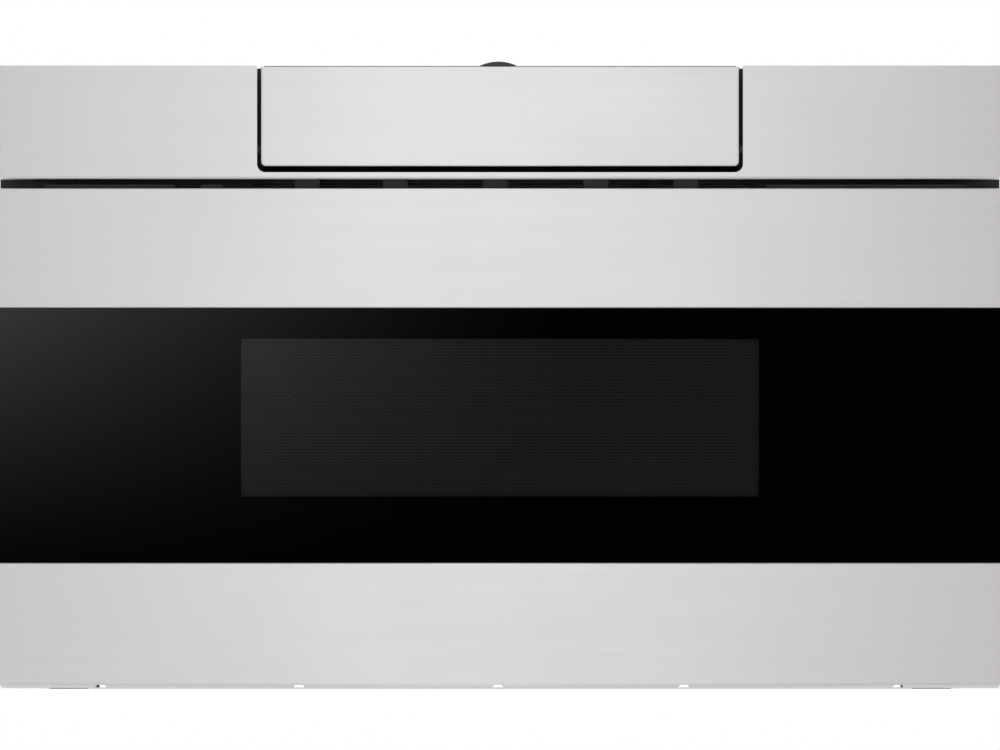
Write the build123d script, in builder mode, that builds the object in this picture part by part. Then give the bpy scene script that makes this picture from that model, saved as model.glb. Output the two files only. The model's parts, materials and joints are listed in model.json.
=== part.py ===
from build123d import *
from math import atan, cos, pi, radians, sin, sqrt, tan
import os

os.makedirs("parts", exist_ok=True)

# A built-in microwave drawer. X is to the right, Y to the back and Z up, in millimetres. The
# origin is the centre of the footprint, on the surface that the feet stand on.

# Driving dimensions: the front
FRONT_W = 606.4  # width of the steel and glass front
OVERALL_D = 621.0  # front face to the back of the cord bushing
LIFT = 0.5  # lower edge of the drawer's front above the floor
LOWER_TRIM_H = 75.6
GLASS_H = 154.5
UPPER_TRIM_H = 72.2
AIR_GAP = 5.7  # open slot between the drawer's front and the fascia
FASCIA_H = 68.7
DOOR_T = 40.0  # thickness of the drawer's front
DOOR_GAP = 3.0  # from the back of the drawer's front to the mounting flange
SKIN = 1.2  # folded steel of the front
EDGE_R = 0.9  # bend radius on the edges of the front
LOWER_BEND_R = 3.0  # wider bend along the lower edge of the drawer's front
FASCIA_BEND_R = 1.8  # bend along the fascia's lower edge
GLASS_T = 4.0
GLASS_INSET = 0.3
WINDOW_W = 313.4
WINDOW_H = 95.7
WINDOW_RISE = 88.0  # window's middle above the glass band's lower edge
WINDOW_FIT = 0.4
WINDOW_RIM = 2.0
PAN_D = 30.0
SCREEN_T = 0.8
INNER_GLASS_T = 3.0
CHOKE_IN = 6.0
CHOKE_OUT = 18.0
CHOKE_T = 2.5
NOTCH_XS = (-241.5, -121.6, -1.2, 111.3, 240.8)  # notches in the front's lower edge
NOTCH_W = 8.0
NOTCH_H = 1.9
NOTCH_SLOPE = 45

# Driving dimensions: the tilting control flap
FLAP_OPENING_W = 294.0
FLAP_BAR_H = 4.1  # steel bar below the flap
FLAP_SIDE_GAP = 2.3
FLAP_LOWER_GAP = 3.7
FLAP_AXIS_DEPTH = 8.0  # flap axis behind the front face
FLAP_AXIS_RISE = 10.0  # flap axis above the flap's lower edge
FLAP_CORNER_R = 3.0
OPENING_CORNER_R = 5.0
HOUSING_R = 66.0  # curved back of the flap housing, about the flap's axis
BAY_CLEARANCE = 2.0
BAY_WALL = 3.0
BAY_SIDE_FIT = 0.3
BAY_DROP = 0.2  # cheeks below the fascia's top return
BAY_LIP_Y = 16.0  # lips behind the flap's axis
BAY_LIP_T = 3.0
BAY_LIP_FIT = 0.8
BAY_CORNER = 12.0
TAB_W = 23.0
TAB_RISE = 2.4
PIVOT_R = 3.0

# Driving dimensions: the chassis
FLANGE_REACH = 25.2  # front's side edge outside the chassis
PLATE = 1.5  # chassis sheet
FOOT_H = 4.0
CHASSIS_DROP = 11.2  # chassis top below the fascia's top
FLANGE_SIDE = 0.2  # how far the mounting flange stays inside the front's sides
FLANGE_DROP = 2.2
BUSHING_REACH = 2.0
SCREW_HEAD_R = 4.2
SCREW_HEAD_H = 1.8
COVER_SCREW_SHARES = (-0.4, 0.4)  # of the chassis depth
BACK_SCREW_IN = 9.0
BACK_SCREW_ZS = (40.0, 330.0)
BACK_TAB = 16.0
SLOT_H = 5.0  # height of the cooling slots
SLOT_PITCH = 12.5
SIDE_SLOTS = 6
SIDE_SLOT_L = 90.0
FAN_SLOTS = 8
FAN_SLOT_L = 100.0
PAN_SLOTS = 9
PAN_SLOT_L = 40.0
PAN_SLOT_PITCH = 20.0
COVER_SLOTS = (4, 2)
COVER_SLOT_L = 70.0
COVER_SLOT_H = 7.0
COVER_SLOT_PITCH = 20.0
EMBOSS = 1.5  # depth of the pressed stiffeners
EMBOSS_SLOPE = 30

# Driving dimensions: the oven
RAIL_SPACE = 35.0  # from the inside of the cavity to the slides
CAVITY_Z0 = 78.0
CAVITY_H = 172.0
REAR_BAY = 136.0  # from the cavity's back to the back panel
CAVITY_T = 1.0
TUB_SIDE_GAP = 2.8
TUB_LIFT = 4.0  # tub's underside above the cavity floor
TUB_BACK_GAP = 4.0  # on top of the gap at the door
TUB_FRONT_H = 114.0
TUB_BACK_H = 96.0
TUB_T = 1.2
TUB_CORNER_R = 20.0
TUB_FLOOR_R = 8.0
TUB_FLANGE = 5.0
TUB_RIM = 5.0  # width of the rim turned in along the top
TUB_FALL = (120.0, 260.0)  # where the sides start and end their fall, from the door
TRAY_MARGIN = 10.0
TRAY_T = 5.0
TRAVEL_KEPT = 61.0  # length of the tub that stays in the cavity when open

# Driving dimensions: rails and drive
RAIL_Z = 95.0
RAIL_H = 45.0
RAIL_T = 1.5
RAIL_FIT = 0.6
RAIL_DEPTHS = (13.0, 9.5, 6.0)  # fixed, middle and drawer member
RAIL_SHORT = 4.0  # slides shorter than the cavity
MODULE = 2.0
PINION_TEETH = 16
RACK_SPARE = 26.0  # rack longer than the travel
BACKLASH = 0.25
RACK_Z = 40.0
RACK_H = 10.0
PRESSURE = radians(20)
RACK_FIRST = 4
RACK_BACK_X = 12.0
RACK_FOOT_W = 40.0
RACK_FOOT_H = 18.0
RAIL_FOOT_W = 24.0
RAIL_FOOT_H = 56.0
MESH_GAP = 0.1  # pinion's pitch circle to the rack's pitch line
PINION_BEHIND = 24.0  # pinion axis behind the mounting flange
GEARBOX_W = 50.0
GEARBOX_D = 44.0
GEARBOX_TOP = 36.0
MOTOR_R = 15.0
MOTOR_L = 55.0
SHAFT_R = 4.0
SHAFT_FIT = 0.05
SHAFT_IN = 18.0
GUIDE_D = 40.0
GUIDE_T = 6.0
GUIDE_FIT = 0.3
HOOK_OUT = 27.0  # outside the cavity's inner side
HOOK_Z = 200.0
HOOK_L = 34.0
HOOK_T = 3.0
HOOK_H = 8.0
HOOK_BEAK = (6.0, 3.0)  # length of the beak's slope, and its rise above the arm
HOOK_FOOT_W = 10.0
HOOK_FOOT_H = 22.0
FOOT_FREE = 0.6  # from the feet behind the door to the mounting flange

# Driving dimensions: chassis pieces
FOOT_R = 12.0
FOOT_INSET = 16.0
FOOT_IN = 40.0
PAN_H = 14.0
SIDE_FLANGE = 14.0
BUSHING_IN = 78.0  # in from the chassis side
BUSHING_Z = 60.0
BUSHING_R = 9.0
BUSHING_BORE_R = 5.0
BUSHING_FIT = 0.1
FAN_IN = 113.0  # in from the chassis side
FAN_Z = 96.0
MOUNT_OUT = 12.0  # outside the chassis side
MOUNT_DZ = 200.0
MOUNT_Z = 170.0
MOUNT_R = 2.5
VENT_DROP = 19.0  # below the drawer's top edge
VENT_H = 14.0
VENT_BAR = 12.0
VENT_COUNT = 6
NOTCH_RETURN = 4.0
FLAP_RETURN = 4.0
FLAP_FIT = 0.7  # housing inside the flap skin's return
FLAP_SKIN_DROP = 0.75
HOUSING_DROP = 0.3
POCKET_W = 264.0
POCKET_WALL = 3.0
POCKET_ROOF = 6.0
TOUCH_EDGE = 2.5
TOUCH_W = 270.0
TOUCH_FIT = 0.3
TOUCH_T = 2.0
TAB_X = -1.0
TAB_T = 2.0
PIVOT_IN = 8.0
LOUVRE_XS = (-116.8, -63.5, -3.0, 58.1, 112.5)  # ribs in the air gap
LOUVRE_RIB_W = 15.0
LOUVRE_LEDGES = ((-276.0, -197.0), (-181.0, -168.0), (161.0, 282.0))  # low ledges between the ribs
LOUVRE_LEDGE_H = 1.9
LOUVRE_OVER = 2.0  # outside the chassis side
LOUVRE_RIB_D = 27.0
LOUVRE_T = 2.0
LOUVRE_EDGE = 0.7  # left round the windows between the ribs

# Driving dimensions: oven pieces
STIRRER_R = 52.0
STIRRER_COVER_W = 148.0
STIRRER_COVER_R = 14.0
STIRRER_COVER_H = 16.0
COVER_SHEET = 1.5
COVER_RIM = 7.0
COVER_SLOPE = 20
STIRRER_HOLE_R = 32.0
STIRRER_SHAFT_R = 3.0
STIRRER_SHAFT_IN = 10.0
STIRRER_DROP = 7.0  # blades below the cavity's roof
BLADE_W = 24.0
BLADE_T = 1.2
BLADE_HUB_R = 10.0
GUIDE_WIDTH = 84.0  # waveguide
GUIDE_HEIGHT = 34.0
GUIDE_FRONT = 45.0  # waveguide in front of the stirrer's axis
GUIDE_SHEET = 1.0
MAGNETRON_BEHIND = 69.0  # behind the cavity
MAGNETRON_W = 94.0
MAGNETRON_D = 78.0
MAGNETRON_H = 84.0
FIN_COUNT = 6
FIN_T = 0.8
ANODE_R = 20.0
ANTENNA_R = 9.0
ANTENNA_H = 22.0
YOKE_T = 2.0
MAGNET_R = 28.0
MAGNET_H = 13.0
FILTER_BOX_H = 24.0
TRANSFORMER_STEP = 86.0  # from the filter's middle
TRANSFORMER_BEHIND = 69.0
CORE_W = 96.0
CORE_H = 80.0
CORE_D = 62.0
CORE_LEG = 16.0
CORE_LIFT = 3.0
CORE_FOOT = 11.0
WINDING_OUT = 13.0
WINDING_H = 20.0
WINDING_STEP = 25.0
CAPACITOR_STEP = 115.0  # from the fan's axis
CAPACITOR_BEHIND = 81.0
CAPACITOR_W = 52.0
CAPACITOR_D = 32.0
CAPACITOR_H = 82.0
TERMINAL_STEP = 20.0
TERMINAL_W = 6.3
TERMINAL_T = 0.8
TERMINAL_H = 8.0
CLAMP_T = 1.3
CLAMP_H = 14.0
CLAMP_W = 12.0
CLAMP_FIT = 0.1
FAN_BEHIND = 33.0
FAN_R = 55.0
FAN_D = 16.0
FAN_HUB_R = 14.0
FAN_BLADES = 5
FAN_SHAFT_R = 2.5
SHROUD_W = 130.0
VANE_T = 1.8
VANE_ROOT = 16.0
VANE_TIP = 27.0
VANE_PITCH = radians(34)
FAN_RING_T = 2.0
FAN_RING_GAP = 2.0
FAN_RING_OVER = 4.0  # ring longer than the blades
FAN_SPIDER_T = 4.0
FAN_SPIDER_R = 20.0
FAN_SPIDER_W = 10.0
FAN_MOTOR_R = 22.0
FAN_MOTOR_L = 30.0
FAN_CORE = (56.0, 44.0, 12.0)  # laminations round the fan's motor
STIRRER_MOTOR_R = 25.0
STIRRER_MOTOR_H = 16.0
LAMP_IN = 64.0  # in from the cavity's side
LAMP_BACK = 110.0  # behind the stirrer
LAMP_HOLE_R = 11.0
LAMP_W = 44.0
LAMP_D = 30.0
LAMP_H = 16.0
CUTOUT_R = 8.0
CUTOUT_H = 11.0
CUTOUT_PLATE = (34.0, 12.0)
CUTOUT_STEPS = ((110.0, -110.0), (-150.0, 170.0))  # from the stirrer's axis
BOARD_IN = 84.0
BOARD_FORWARD = 60.0
BOARD_W = 120.0
BOARD_D = 130.0
BOARD_T = 1.6
BOARD_FEET = 8.0
BOARD_LIFT = 5.0
FILTER_IN = 42.0
FILTER_BEHIND = 59.0
BRACKET_T = 4.5
BRACKET_INSETS = (76.0, 36.0)  # from the slide's front and back ends
BRACKET_D = 40.0
BRACKET_H = 36.0

# Places that follow: the front
FRONT_Y = -OVERALL_D / 2
DOOR_Y = FRONT_Y + DOOR_T
FLANGE_Y = DOOR_Y + DOOR_GAP
GLASS_BACK_Y = FRONT_Y + GLASS_INSET + GLASS_T
GLASS_Z0 = LIFT + LOWER_TRIM_H
GLASS_Z1 = GLASS_Z0 + GLASS_H
WINDOW_Z = GLASS_Z0 + WINDOW_RISE
DRAWER_TOP = GLASS_Z1 + UPPER_TRIM_H
FASCIA_Z0 = DRAWER_TOP + AIR_GAP
FASCIA_Z1 = FASCIA_Z0 + FASCIA_H
BAR_TOP = FASCIA_Z0 + FLAP_BAR_H
FLAP_W = FLAP_OPENING_W - 2 * FLAP_SIDE_GAP
FLAP_Z0 = BAR_TOP + FLAP_LOWER_GAP
FLAP_TOP = FASCIA_Z1 - FLAP_SKIN_DROP
FLAP_AXIS_Y = FRONT_Y + FLAP_AXIS_DEPTH
FLAP_AXIS_Z = FLAP_Z0 + FLAP_AXIS_RISE
BAY_R = HOUSING_R + BAY_CLEARANCE
BAY_W = FLAP_OPENING_W + 2 * BAY_SIDE_FIT + 2 * BAY_WALL
BAY_BACK_Y = FLAP_AXIS_Y + BAY_R + BAY_WALL

# Places that follow: the chassis and the oven
CHASSIS_W = FRONT_W - 2 * FLANGE_REACH
CHASSIS_Y = FLANGE_Y + PLATE
BACK_Y = OVERALL_D / 2 - BUSHING_REACH
CHASSIS_D = BACK_Y - PLATE - CHASSIS_Y
CHASSIS_MID_Y = CHASSIS_Y + CHASSIS_D / 2
CHASSIS_TOP = FASCIA_Z1 - CHASSIS_DROP
FLANGE_TOP = FASCIA_Z1 - FLANGE_DROP
PAN_Z = FOOT_H + PLATE
RAIL_WEB_X = CHASSIS_W / 2 - PLATE - BRACKET_T
RAIL_OPENING_X = RAIL_WEB_X - RAIL_DEPTHS[0]
CAVITY_W = 2 * (RAIL_OPENING_X - RAIL_SPACE)
CAVITY_D = CHASSIS_D - REAR_BAY - CAVITY_T
CAVITY_TOP = CAVITY_Z0 + CAVITY_H + CAVITY_T
CAVITY_MID_Z = CAVITY_Z0 + CAVITY_H / 2
CAVITY_BACK_Y = CHASSIS_Y + CAVITY_D + CAVITY_T
TUB_W = CAVITY_W - 2 * TUB_SIDE_GAP
TUB_D = CAVITY_D + CHASSIS_Y - DOOR_Y - TUB_BACK_GAP - DOOR_GAP + 0.5
TUB_Z = CAVITY_Z0 + TUB_LIFT
TUB_TOP = TUB_Z + TUB_FRONT_H
RAIL_L = CAVITY_D - RAIL_SHORT
FOOT_T = DOOR_GAP - FOOT_FREE
TRAVEL = CAVITY_D - TRAVEL_KEPT
RACK_PITCH = pi * MODULE
RACK_TEETH = int((TRAVEL + RACK_SPARE) / RACK_PITCH)
PITCH_R = MODULE * PINION_TEETH / 2
PINION_DX = PITCH_R + MESH_GAP
PINION_Y = CHASSIS_Y + PINION_BEHIND
HOOK_X = CAVITY_W / 2 + HOOK_OUT
FOOT_X = CHASSIS_W / 2 - FOOT_INSET
BUSHING_X = BUSHING_IN - CHASSIS_W / 2
MOUNT_DX = CHASSIS_W + 2 * MOUNT_OUT
VENT_Z = DRAWER_TOP - VENT_DROP
VENT_PITCH = (CHASSIS_W - VENT_BAR - 4) / VENT_COUNT
LOUVRE_W = CHASSIS_W + 2 * LOUVRE_OVER
STIRRER_Y = CHASSIS_Y + CAVITY_D / 2
MAGNETRON_Y = CAVITY_BACK_Y + MAGNETRON_BEHIND
GUIDE_BACK_Y = MAGNETRON_Y + MAGNETRON_D / 2 + 8
GUIDE_FRONT_Y = STIRRER_Y - GUIDE_FRONT
FILTER_AT = (FILTER_IN - CHASSIS_W / 2, CAVITY_BACK_Y + FILTER_BEHIND)
TRANSFORMER_X = FILTER_AT[0] + TRANSFORMER_STEP
TRANSFORMER_Y = CAVITY_BACK_Y + TRANSFORMER_BEHIND
FAN_X = CHASSIS_W / 2 - FAN_IN
FAN_Y = CAVITY_BACK_Y + FAN_BEHIND
CAPACITOR_X = FAN_X - CAPACITOR_STEP
CAPACITOR_Y = CAVITY_BACK_Y + CAPACITOR_BEHIND
LAMP_X = CAVITY_W / 2 - LAMP_IN
LAMP_Y = STIRRER_Y + LAMP_BACK
CUTOUT_AT = [(x, STIRRER_Y + step) for x, step in CUTOUT_STEPS]
BOARD_AT = (BOARD_IN - CAVITY_W / 2, STIRRER_Y - BOARD_FORWARD)
BRACKET_YS = (CHASSIS_Y + BRACKET_INSETS[0], CHASSIS_Y + RAIL_L - BRACKET_INSETS[1])
COVER_SCREWS = [
    (side * (CHASSIS_W / 2 - SIDE_FLANGE / 2 - 1), CHASSIS_MID_Y + share * CHASSIS_D)
    for side in (-1, 1)
    for share in COVER_SCREW_SHARES
]
BACK_SCREWS = [(side * (CHASSIS_W / 2 - BACK_SCREW_IN), z) for side in (-1, 1) for z in BACK_SCREW_ZS]


def facing_front(y):
    """The upright plane at depth y: its x and y are X and Z, and a negative extrusion goes back."""
    return Plane.XZ.offset(-y)


def facing_back(y):
    """The upright plane at depth y that faces back: its x and y are -X and Z."""
    return Plane(origin=(0, y, 0), x_dir=(-1, 0, 0), z_dir=(0, 1, 0))


def save(solid, name):
    solid.label = name
    export_step(solid, f"parts/{name}.step")


def box(low, high, mode=Mode.ADD):
    """A box between two corners, in the open part."""
    middle = [(a + b) / 2 for a, b in zip(low, high)]
    with Locations(tuple(middle)):
        Box(*[b - a for a, b in zip(low, high)], mode=mode)


# ---- The drawer's front ----------------------------------------------------------------------


def front_trim(z0, height, glass_z, lower_r):
    """A folded steel cover with a return on its outer edges and a short one along the glass."""
    middle = Location((0, z0 + height / 2, 0))
    with BuildPart() as trim:
        with BuildSketch(facing_front(FRONT_Y)):
            with Locations(middle):
                Rectangle(FRONT_W, height)
        extrude(amount=-SKIN)
        with BuildSketch(facing_front(FRONT_Y + SKIN)):
            with Locations(middle):
                Rectangle(FRONT_W, height)
                Rectangle(FRONT_W - 2 * SKIN, height - 2 * SKIN, mode=Mode.SUBTRACT)
        extrude(amount=-(DOOR_T - SKIN))
        box(
            (-FRONT_W / 2 + SKIN, GLASS_BACK_Y + 3, glass_z),
            (FRONT_W / 2 - SKIN, DOOR_Y, glass_z + SKIN),
            Mode.SUBTRACT,
        )
        lower_edge, *edges = trim.faces().sort_by(Axis.Y)[0].edges().sort_by(Axis.Z)
        fillet(edges, EDGE_R)
        fillet(trim.edges().filter_by(Axis.X).sort_by(lambda e: e.center().Y + e.center().Z)[0], lower_r)
        if lower_r > SKIN:
            inside = Vertex(0, FRONT_Y + SKIN, z0 + SKIN)
            fillet(trim.edges().filter_by(Axis.X).sort_by_distance(inside)[0], lower_r - SKIN)
    return trim.part


save(front_trim(GLASS_Z1, DRAWER_TOP - GLASS_Z1, GLASS_Z1, EDGE_R), "drawer_upper_trim")

with BuildPart() as drawer_lower_trim:
    add(front_trim(LIFT, LOWER_TRIM_H, GLASS_Z0 - SKIN, LOWER_BEND_R))
    with BuildSketch(facing_front(FRONT_Y)):
        with Locations(*[(x, LIFT + NOTCH_H / 2) for x in NOTCH_XS]):
            Trapezoid(NOTCH_W, NOTCH_H, NOTCH_SLOPE)
    extrude(amount=-DOOR_T, mode=Mode.SUBTRACT)
save(drawer_lower_trim.part, "drawer_lower_trim")

with BuildPart() as front_glass:
    with BuildSketch(facing_front(FRONT_Y + GLASS_INSET)):
        with Locations((0, (GLASS_Z0 + GLASS_Z1) / 2)):
            Rectangle(FRONT_W, GLASS_H)
    extrude(amount=-GLASS_T)
    chamfer(front_glass.faces().sort_by(Axis.Y)[0].edges(), 0.4)
save(front_glass.part, "front_glass")


def window_sketch(y, grow):
    """The window's outline at depth y, grown on every side."""
    with BuildSketch(facing_front(y)) as outline:
        with Locations((0, WINDOW_Z)):
            Rectangle(WINDOW_W + 2 * grow, WINDOW_H + 2 * grow)
    return outline.sketch


# A pressed pan behind the covers, with a tunnel from its back plate to the glass
with BuildPart() as door_frame:
    pan_z0, pan_z1 = LIFT + NOTCH_H + SKIN, DRAWER_TOP - SKIN
    pan_w = FRONT_W - 2 * SKIN
    with BuildSketch(facing_front(DOOR_Y)):
        with Locations((0, (pan_z0 + pan_z1) / 2)):
            RectangleRounded(pan_w, pan_z1 - pan_z0, 2)
    extrude(amount=PAN_D)
    offset(amount=-SKIN, openings=door_frame.faces().sort_by(Axis.Y)[0])
    add(extrude(window_sketch(DOOR_Y, WINDOW_RIM), amount=DOOR_Y - GLASS_BACK_Y, mode=Mode.PRIVATE))
    add(
        extrude(window_sketch(DOOR_Y, WINDOW_FIT), amount=DOOR_Y - GLASS_BACK_Y, mode=Mode.PRIVATE),
        mode=Mode.SUBTRACT,
    )
save(door_frame.part, "door_frame")

with BuildPart() as window_screen:
    extrude(window_sketch(GLASS_BACK_Y + 0.3, 0), amount=-SCREEN_T)
save(window_screen.part, "window_screen")

with BuildPart() as inner_window:
    extrude(window_sketch(DOOR_Y - INNER_GLASS_T, 0), amount=-INNER_GLASS_T)
save(inner_window.part, "inner_window")

# The ring at the door's back that closes against the mounting flange
with BuildPart() as choke_ring:
    with BuildSketch(facing_front(DOOR_Y)):
        with Locations((0, CAVITY_MID_Z)):
            RectangleRounded(CAVITY_W + 2 * CHOKE_OUT, CAVITY_H + 2 * CHOKE_OUT, 12)
            RectangleRounded(CAVITY_W + 2 * CHOKE_IN, CAVITY_H + 2 * CHOKE_IN, 10, mode=Mode.SUBTRACT)
    extrude(amount=-CHOKE_T)
save(choke_ring.part, "choke_ring")

# ---- The drawer's tub, rails and rack ---------------------------------------------------------

with BuildPart() as drawer_tub:
    box((-TUB_W / 2, DOOR_Y, TUB_Z), (TUB_W / 2, DOOR_Y + TUB_D, TUB_TOP))
    fillet(drawer_tub.edges().filter_by(Axis.Z).group_by(Axis.Y)[-1], TUB_CORNER_R)
    underside = drawer_tub.faces().sort_by(Axis.Z)[0].edges()
    fillet(underside - underside.sort_by(Axis.Y)[:1], TUB_FLOOR_R)
    front_end = drawer_tub.faces().sort_by(Axis.Y)[0]
    offset(amount=-TUB_T, openings=[front_end, drawer_tub.faces().sort_by(Axis.Z)[-1]])
    # sides that fall towards the back
    with BuildSketch(Plane.YZ):
        with BuildLine():
            Polyline(
                (DOOR_Y + TUB_FALL[0], TUB_TOP),
                (DOOR_Y + TUB_D, TUB_TOP),
                (DOOR_Y + TUB_D, TUB_Z + TUB_BACK_H),
                (DOOR_Y + TUB_FALL[1], TUB_Z + TUB_BACK_H),
                close=True,
            )
        make_face()
    extrude(amount=TUB_W, both=True, mode=Mode.SUBTRACT)
    # rim turned in along the sides and the back
    with BuildPart(mode=Mode.PRIVATE) as rim:
        with BuildSketch(Plane.YZ.offset(-TUB_W / 2)):
            with BuildLine():
                fall_line = [
                    (DOOR_Y, TUB_TOP),
                    (DOOR_Y + TUB_FALL[0], TUB_TOP),
                    (DOOR_Y + TUB_FALL[1], TUB_Z + TUB_BACK_H),
                    (DOOR_Y + TUB_D, TUB_Z + TUB_BACK_H),
                ]
                Polyline(*fall_line, *[(y, z - TUB_T) for y, z in reversed(fall_line)], close=True)
            make_face()
        extrude(amount=TUB_W)
        with BuildSketch(Plane.XY.offset(TUB_Z)):
            for inset, how in ((0, Mode.ADD), (TUB_RIM, Mode.SUBTRACT)):
                with BuildSketch(mode=Mode.PRIVATE) as plan:
                    with Locations((0, DOOR_Y + (TUB_D - inset) / 2)):
                        Rectangle(TUB_W - 2 * inset, TUB_D - inset)
                    fillet(plan.vertices().group_by(Axis.Y)[-1], TUB_CORNER_R - inset)
                add(plan.sketch, mode=how)
        extrude(amount=TUB_FRONT_H, mode=Mode.INTERSECT)
    add(rim.part)
    # front flange, fastened to the door
    with BuildSketch(facing_front(DOOR_Y)):
        with Locations((0, (TUB_Z + TUB_TOP - TUB_FLANGE) / 2)):
            Rectangle(TUB_W + 2 * TUB_FLANGE, TUB_FRONT_H + TUB_FLANGE)
        with Locations((0, TUB_TOP)):
            Rectangle(TUB_W - 2 * TUB_FLOOR_R, 2 * (TUB_FRONT_H - TUB_FLOOR_R), mode=Mode.SUBTRACT)
    extrude(amount=-TUB_T)
save(drawer_tub.part, "drawer_tub")

with BuildPart() as ceramic_tray:
    with BuildSketch(Plane.XY.offset(TUB_Z + TUB_T)):
        with Locations((0, DOOR_Y + TUB_D / 2)):
            RectangleRounded(TUB_W - 2 * TRAY_MARGIN, TUB_D - 2 * TRAY_MARGIN, TUB_CORNER_R)
    extrude(amount=TRAY_T)
    chamfer(ceramic_tray.faces().sort_by(Axis.Z)[-1].edges(), 1)
save(ceramic_tray.part, "ceramic_tray")


def rail_channel(depth, height, y0, length):
    """One member of the right-hand slide, a channel open towards the oven."""
    web_x = RAIL_OPENING_X + depth
    with BuildPart() as rail:
        with BuildSketch(facing_front(y0)) as section:
            with Locations(((RAIL_OPENING_X + web_x) / 2, RAIL_Z)):
                Rectangle(depth, height)
            fillet(section.vertices().group_by(Axis.X)[-1], RAIL_T)
            with Locations(((RAIL_OPENING_X + web_x) / 2 - RAIL_T, RAIL_Z)):
                Rectangle(depth, height - 2 * RAIL_T, mode=Mode.SUBTRACT)
        extrude(amount=-length)
    return rail.part


def save_pair(right, name):
    """The right-hand piece and its mirror image."""
    save(right, f"right_{name}")
    save(mirror(right, about=Plane.YZ, mode=Mode.PRIVATE), f"left_{name}")


middle_h = RAIL_H - 2 * RAIL_T - 2 * RAIL_FIT
drawer_h = middle_h - 2 * RAIL_T - 2 * RAIL_FIT
save_pair(rail_channel(RAIL_DEPTHS[0], RAIL_H, CHASSIS_Y, RAIL_L), "fixed_rail")
save_pair(rail_channel(RAIL_DEPTHS[1], middle_h, CHASSIS_Y + 2, RAIL_L - 4), "middle_rail")

with BuildPart() as drawer_rail:
    add(rail_channel(RAIL_DEPTHS[2], drawer_h, DOOR_Y, RAIL_L))
    # foot that the door is screwed to
    with BuildSketch(facing_front(DOOR_Y)):
        with Locations((RAIL_OPENING_X + RAIL_DEPTHS[2] / 2, RAIL_Z)):
            Rectangle(RAIL_FOOT_W, RAIL_FOOT_H)
    extrude(amount=-FOOT_T)
save_pair(drawer_rail.part, "drawer_rail")

with BuildPart() as drive_rack:
    tooth_half = RACK_PITCH / 4 - BACKLASH / 4
    tip_half = tooth_half - MODULE * tan(PRESSURE)
    root_half = tooth_half + 1.25 * MODULE * tan(PRESSURE)
    outline = [(RACK_BACK_X, DOOR_Y), (1.25 * MODULE, DOOR_Y)]
    for n in range(RACK_TEETH):
        y = PINION_Y + (n - RACK_FIRST) * RACK_PITCH
        outline += [
            (1.25 * MODULE, y - root_half),
            (-MODULE, y - tip_half),
            (-MODULE, y + tip_half),
            (1.25 * MODULE, y + root_half),
        ]
    rack_end = outline[-1][1] + 2
    outline += [(1.25 * MODULE, rack_end), (RACK_BACK_X, rack_end)]
    with BuildSketch(Plane.XY.offset(RACK_Z)):
        with BuildLine():
            Polyline(*outline, close=True)
        make_face()
    extrude(amount=RACK_H)
    # foot on the door
    with BuildSketch(facing_front(DOOR_Y)):
        with Locations((RACK_BACK_X / 2, RACK_Z + RACK_H / 2)):
            Rectangle(RACK_FOOT_W, RACK_FOOT_H)
    extrude(amount=-FOOT_T)
save(drive_rack.part, "drive_rack")

with BuildPart() as interlock_hook:
    with BuildSketch(Plane.YZ.offset(HOOK_X - HOOK_T / 2)):
        with BuildLine():
            low_z, high_z = HOOK_Z - HOOK_H / 2, HOOK_Z + HOOK_H / 2
            beak_y = DOOR_Y + HOOK_L - HOOK_BEAK[0]
            Polyline(
                (DOOR_Y, low_z),
                (beak_y, low_z),
                (DOOR_Y + HOOK_L, HOOK_Z + 1),
                (beak_y, high_z + HOOK_BEAK[1]),
                (beak_y - HOOK_BEAK[0], high_z + HOOK_BEAK[1]),
                (beak_y - HOOK_BEAK[0], high_z - 1),
                (DOOR_Y, high_z),
                close=True,
            )
        make_face()
    extrude(amount=HOOK_T)
    with BuildSketch(facing_front(DOOR_Y)):
        with Locations((HOOK_X, HOOK_Z)):
            Rectangle(HOOK_FOOT_W, HOOK_FOOT_H)
    extrude(amount=-FOOT_T)
with BuildPart() as interlock_hooks:
    add(interlock_hook.part)
    mirror(interlock_hook.part, about=Plane.YZ)
save(interlock_hooks.part, "interlock_hooks")


# ---- The drive ----------------------------------------------------------------------------------


def half_tooth(radius, at_pitch):
    """Half of an involute tooth's angle at a radius, from its half angle at the pitch circle."""
    base = PITCH_R * cos(PRESSURE)
    roll = sqrt(max((radius / base) ** 2 - 1, 0))
    return at_pitch + tan(PRESSURE) - PRESSURE - (roll - atan(roll))


def polar(radius, angle):
    return (radius * cos(angle), radius * sin(angle))


with BuildPart() as drive_pinion:
    tooth_angle = 2 * pi / PINION_TEETH
    pitch_half = tooth_angle / 4 - BACKLASH / (4 * PITCH_R)
    base_r, tip_r, root_r = PITCH_R * cos(PRESSURE), PITCH_R + MODULE, PITCH_R - 1.25 * MODULE
    flank_r = (base_r + tip_r) / 2
    with BuildSketch(Plane.XY.offset(RACK_Z - 0.5).shift_origin((-PINION_DX, PINION_Y, RACK_Z - 0.5))):
        with BuildLine():
            for n in range(PINION_TEETH):
                middle = (n + 0.5) * tooth_angle
                low = [(r, middle - half_tooth(r, pitch_half)) for r in (base_r, flank_r, tip_r)]
                high = [(r, middle + half_tooth(r, pitch_half)) for r in (tip_r, flank_r, base_r)]
                start = polar(root_r, low[0][1])
                end = polar(root_r, high[-1][1])
                flanks = [polar(*p) for p in low + high]
                Polyline(start, *flanks, end, polar(root_r, low[0][1] + tooth_angle))
        make_face()
    extrude(amount=RACK_H + 1)
    with Locations((-PINION_DX, PINION_Y, GEARBOX_TOP - SHAFT_IN)):
        Cylinder(
            SHAFT_R,
            RACK_Z + RACK_H + 2 - GEARBOX_TOP + SHAFT_IN,
            align=(Align.CENTER, Align.CENTER, Align.MIN),
        )
save(drive_pinion.part, "drive_pinion")

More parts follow.
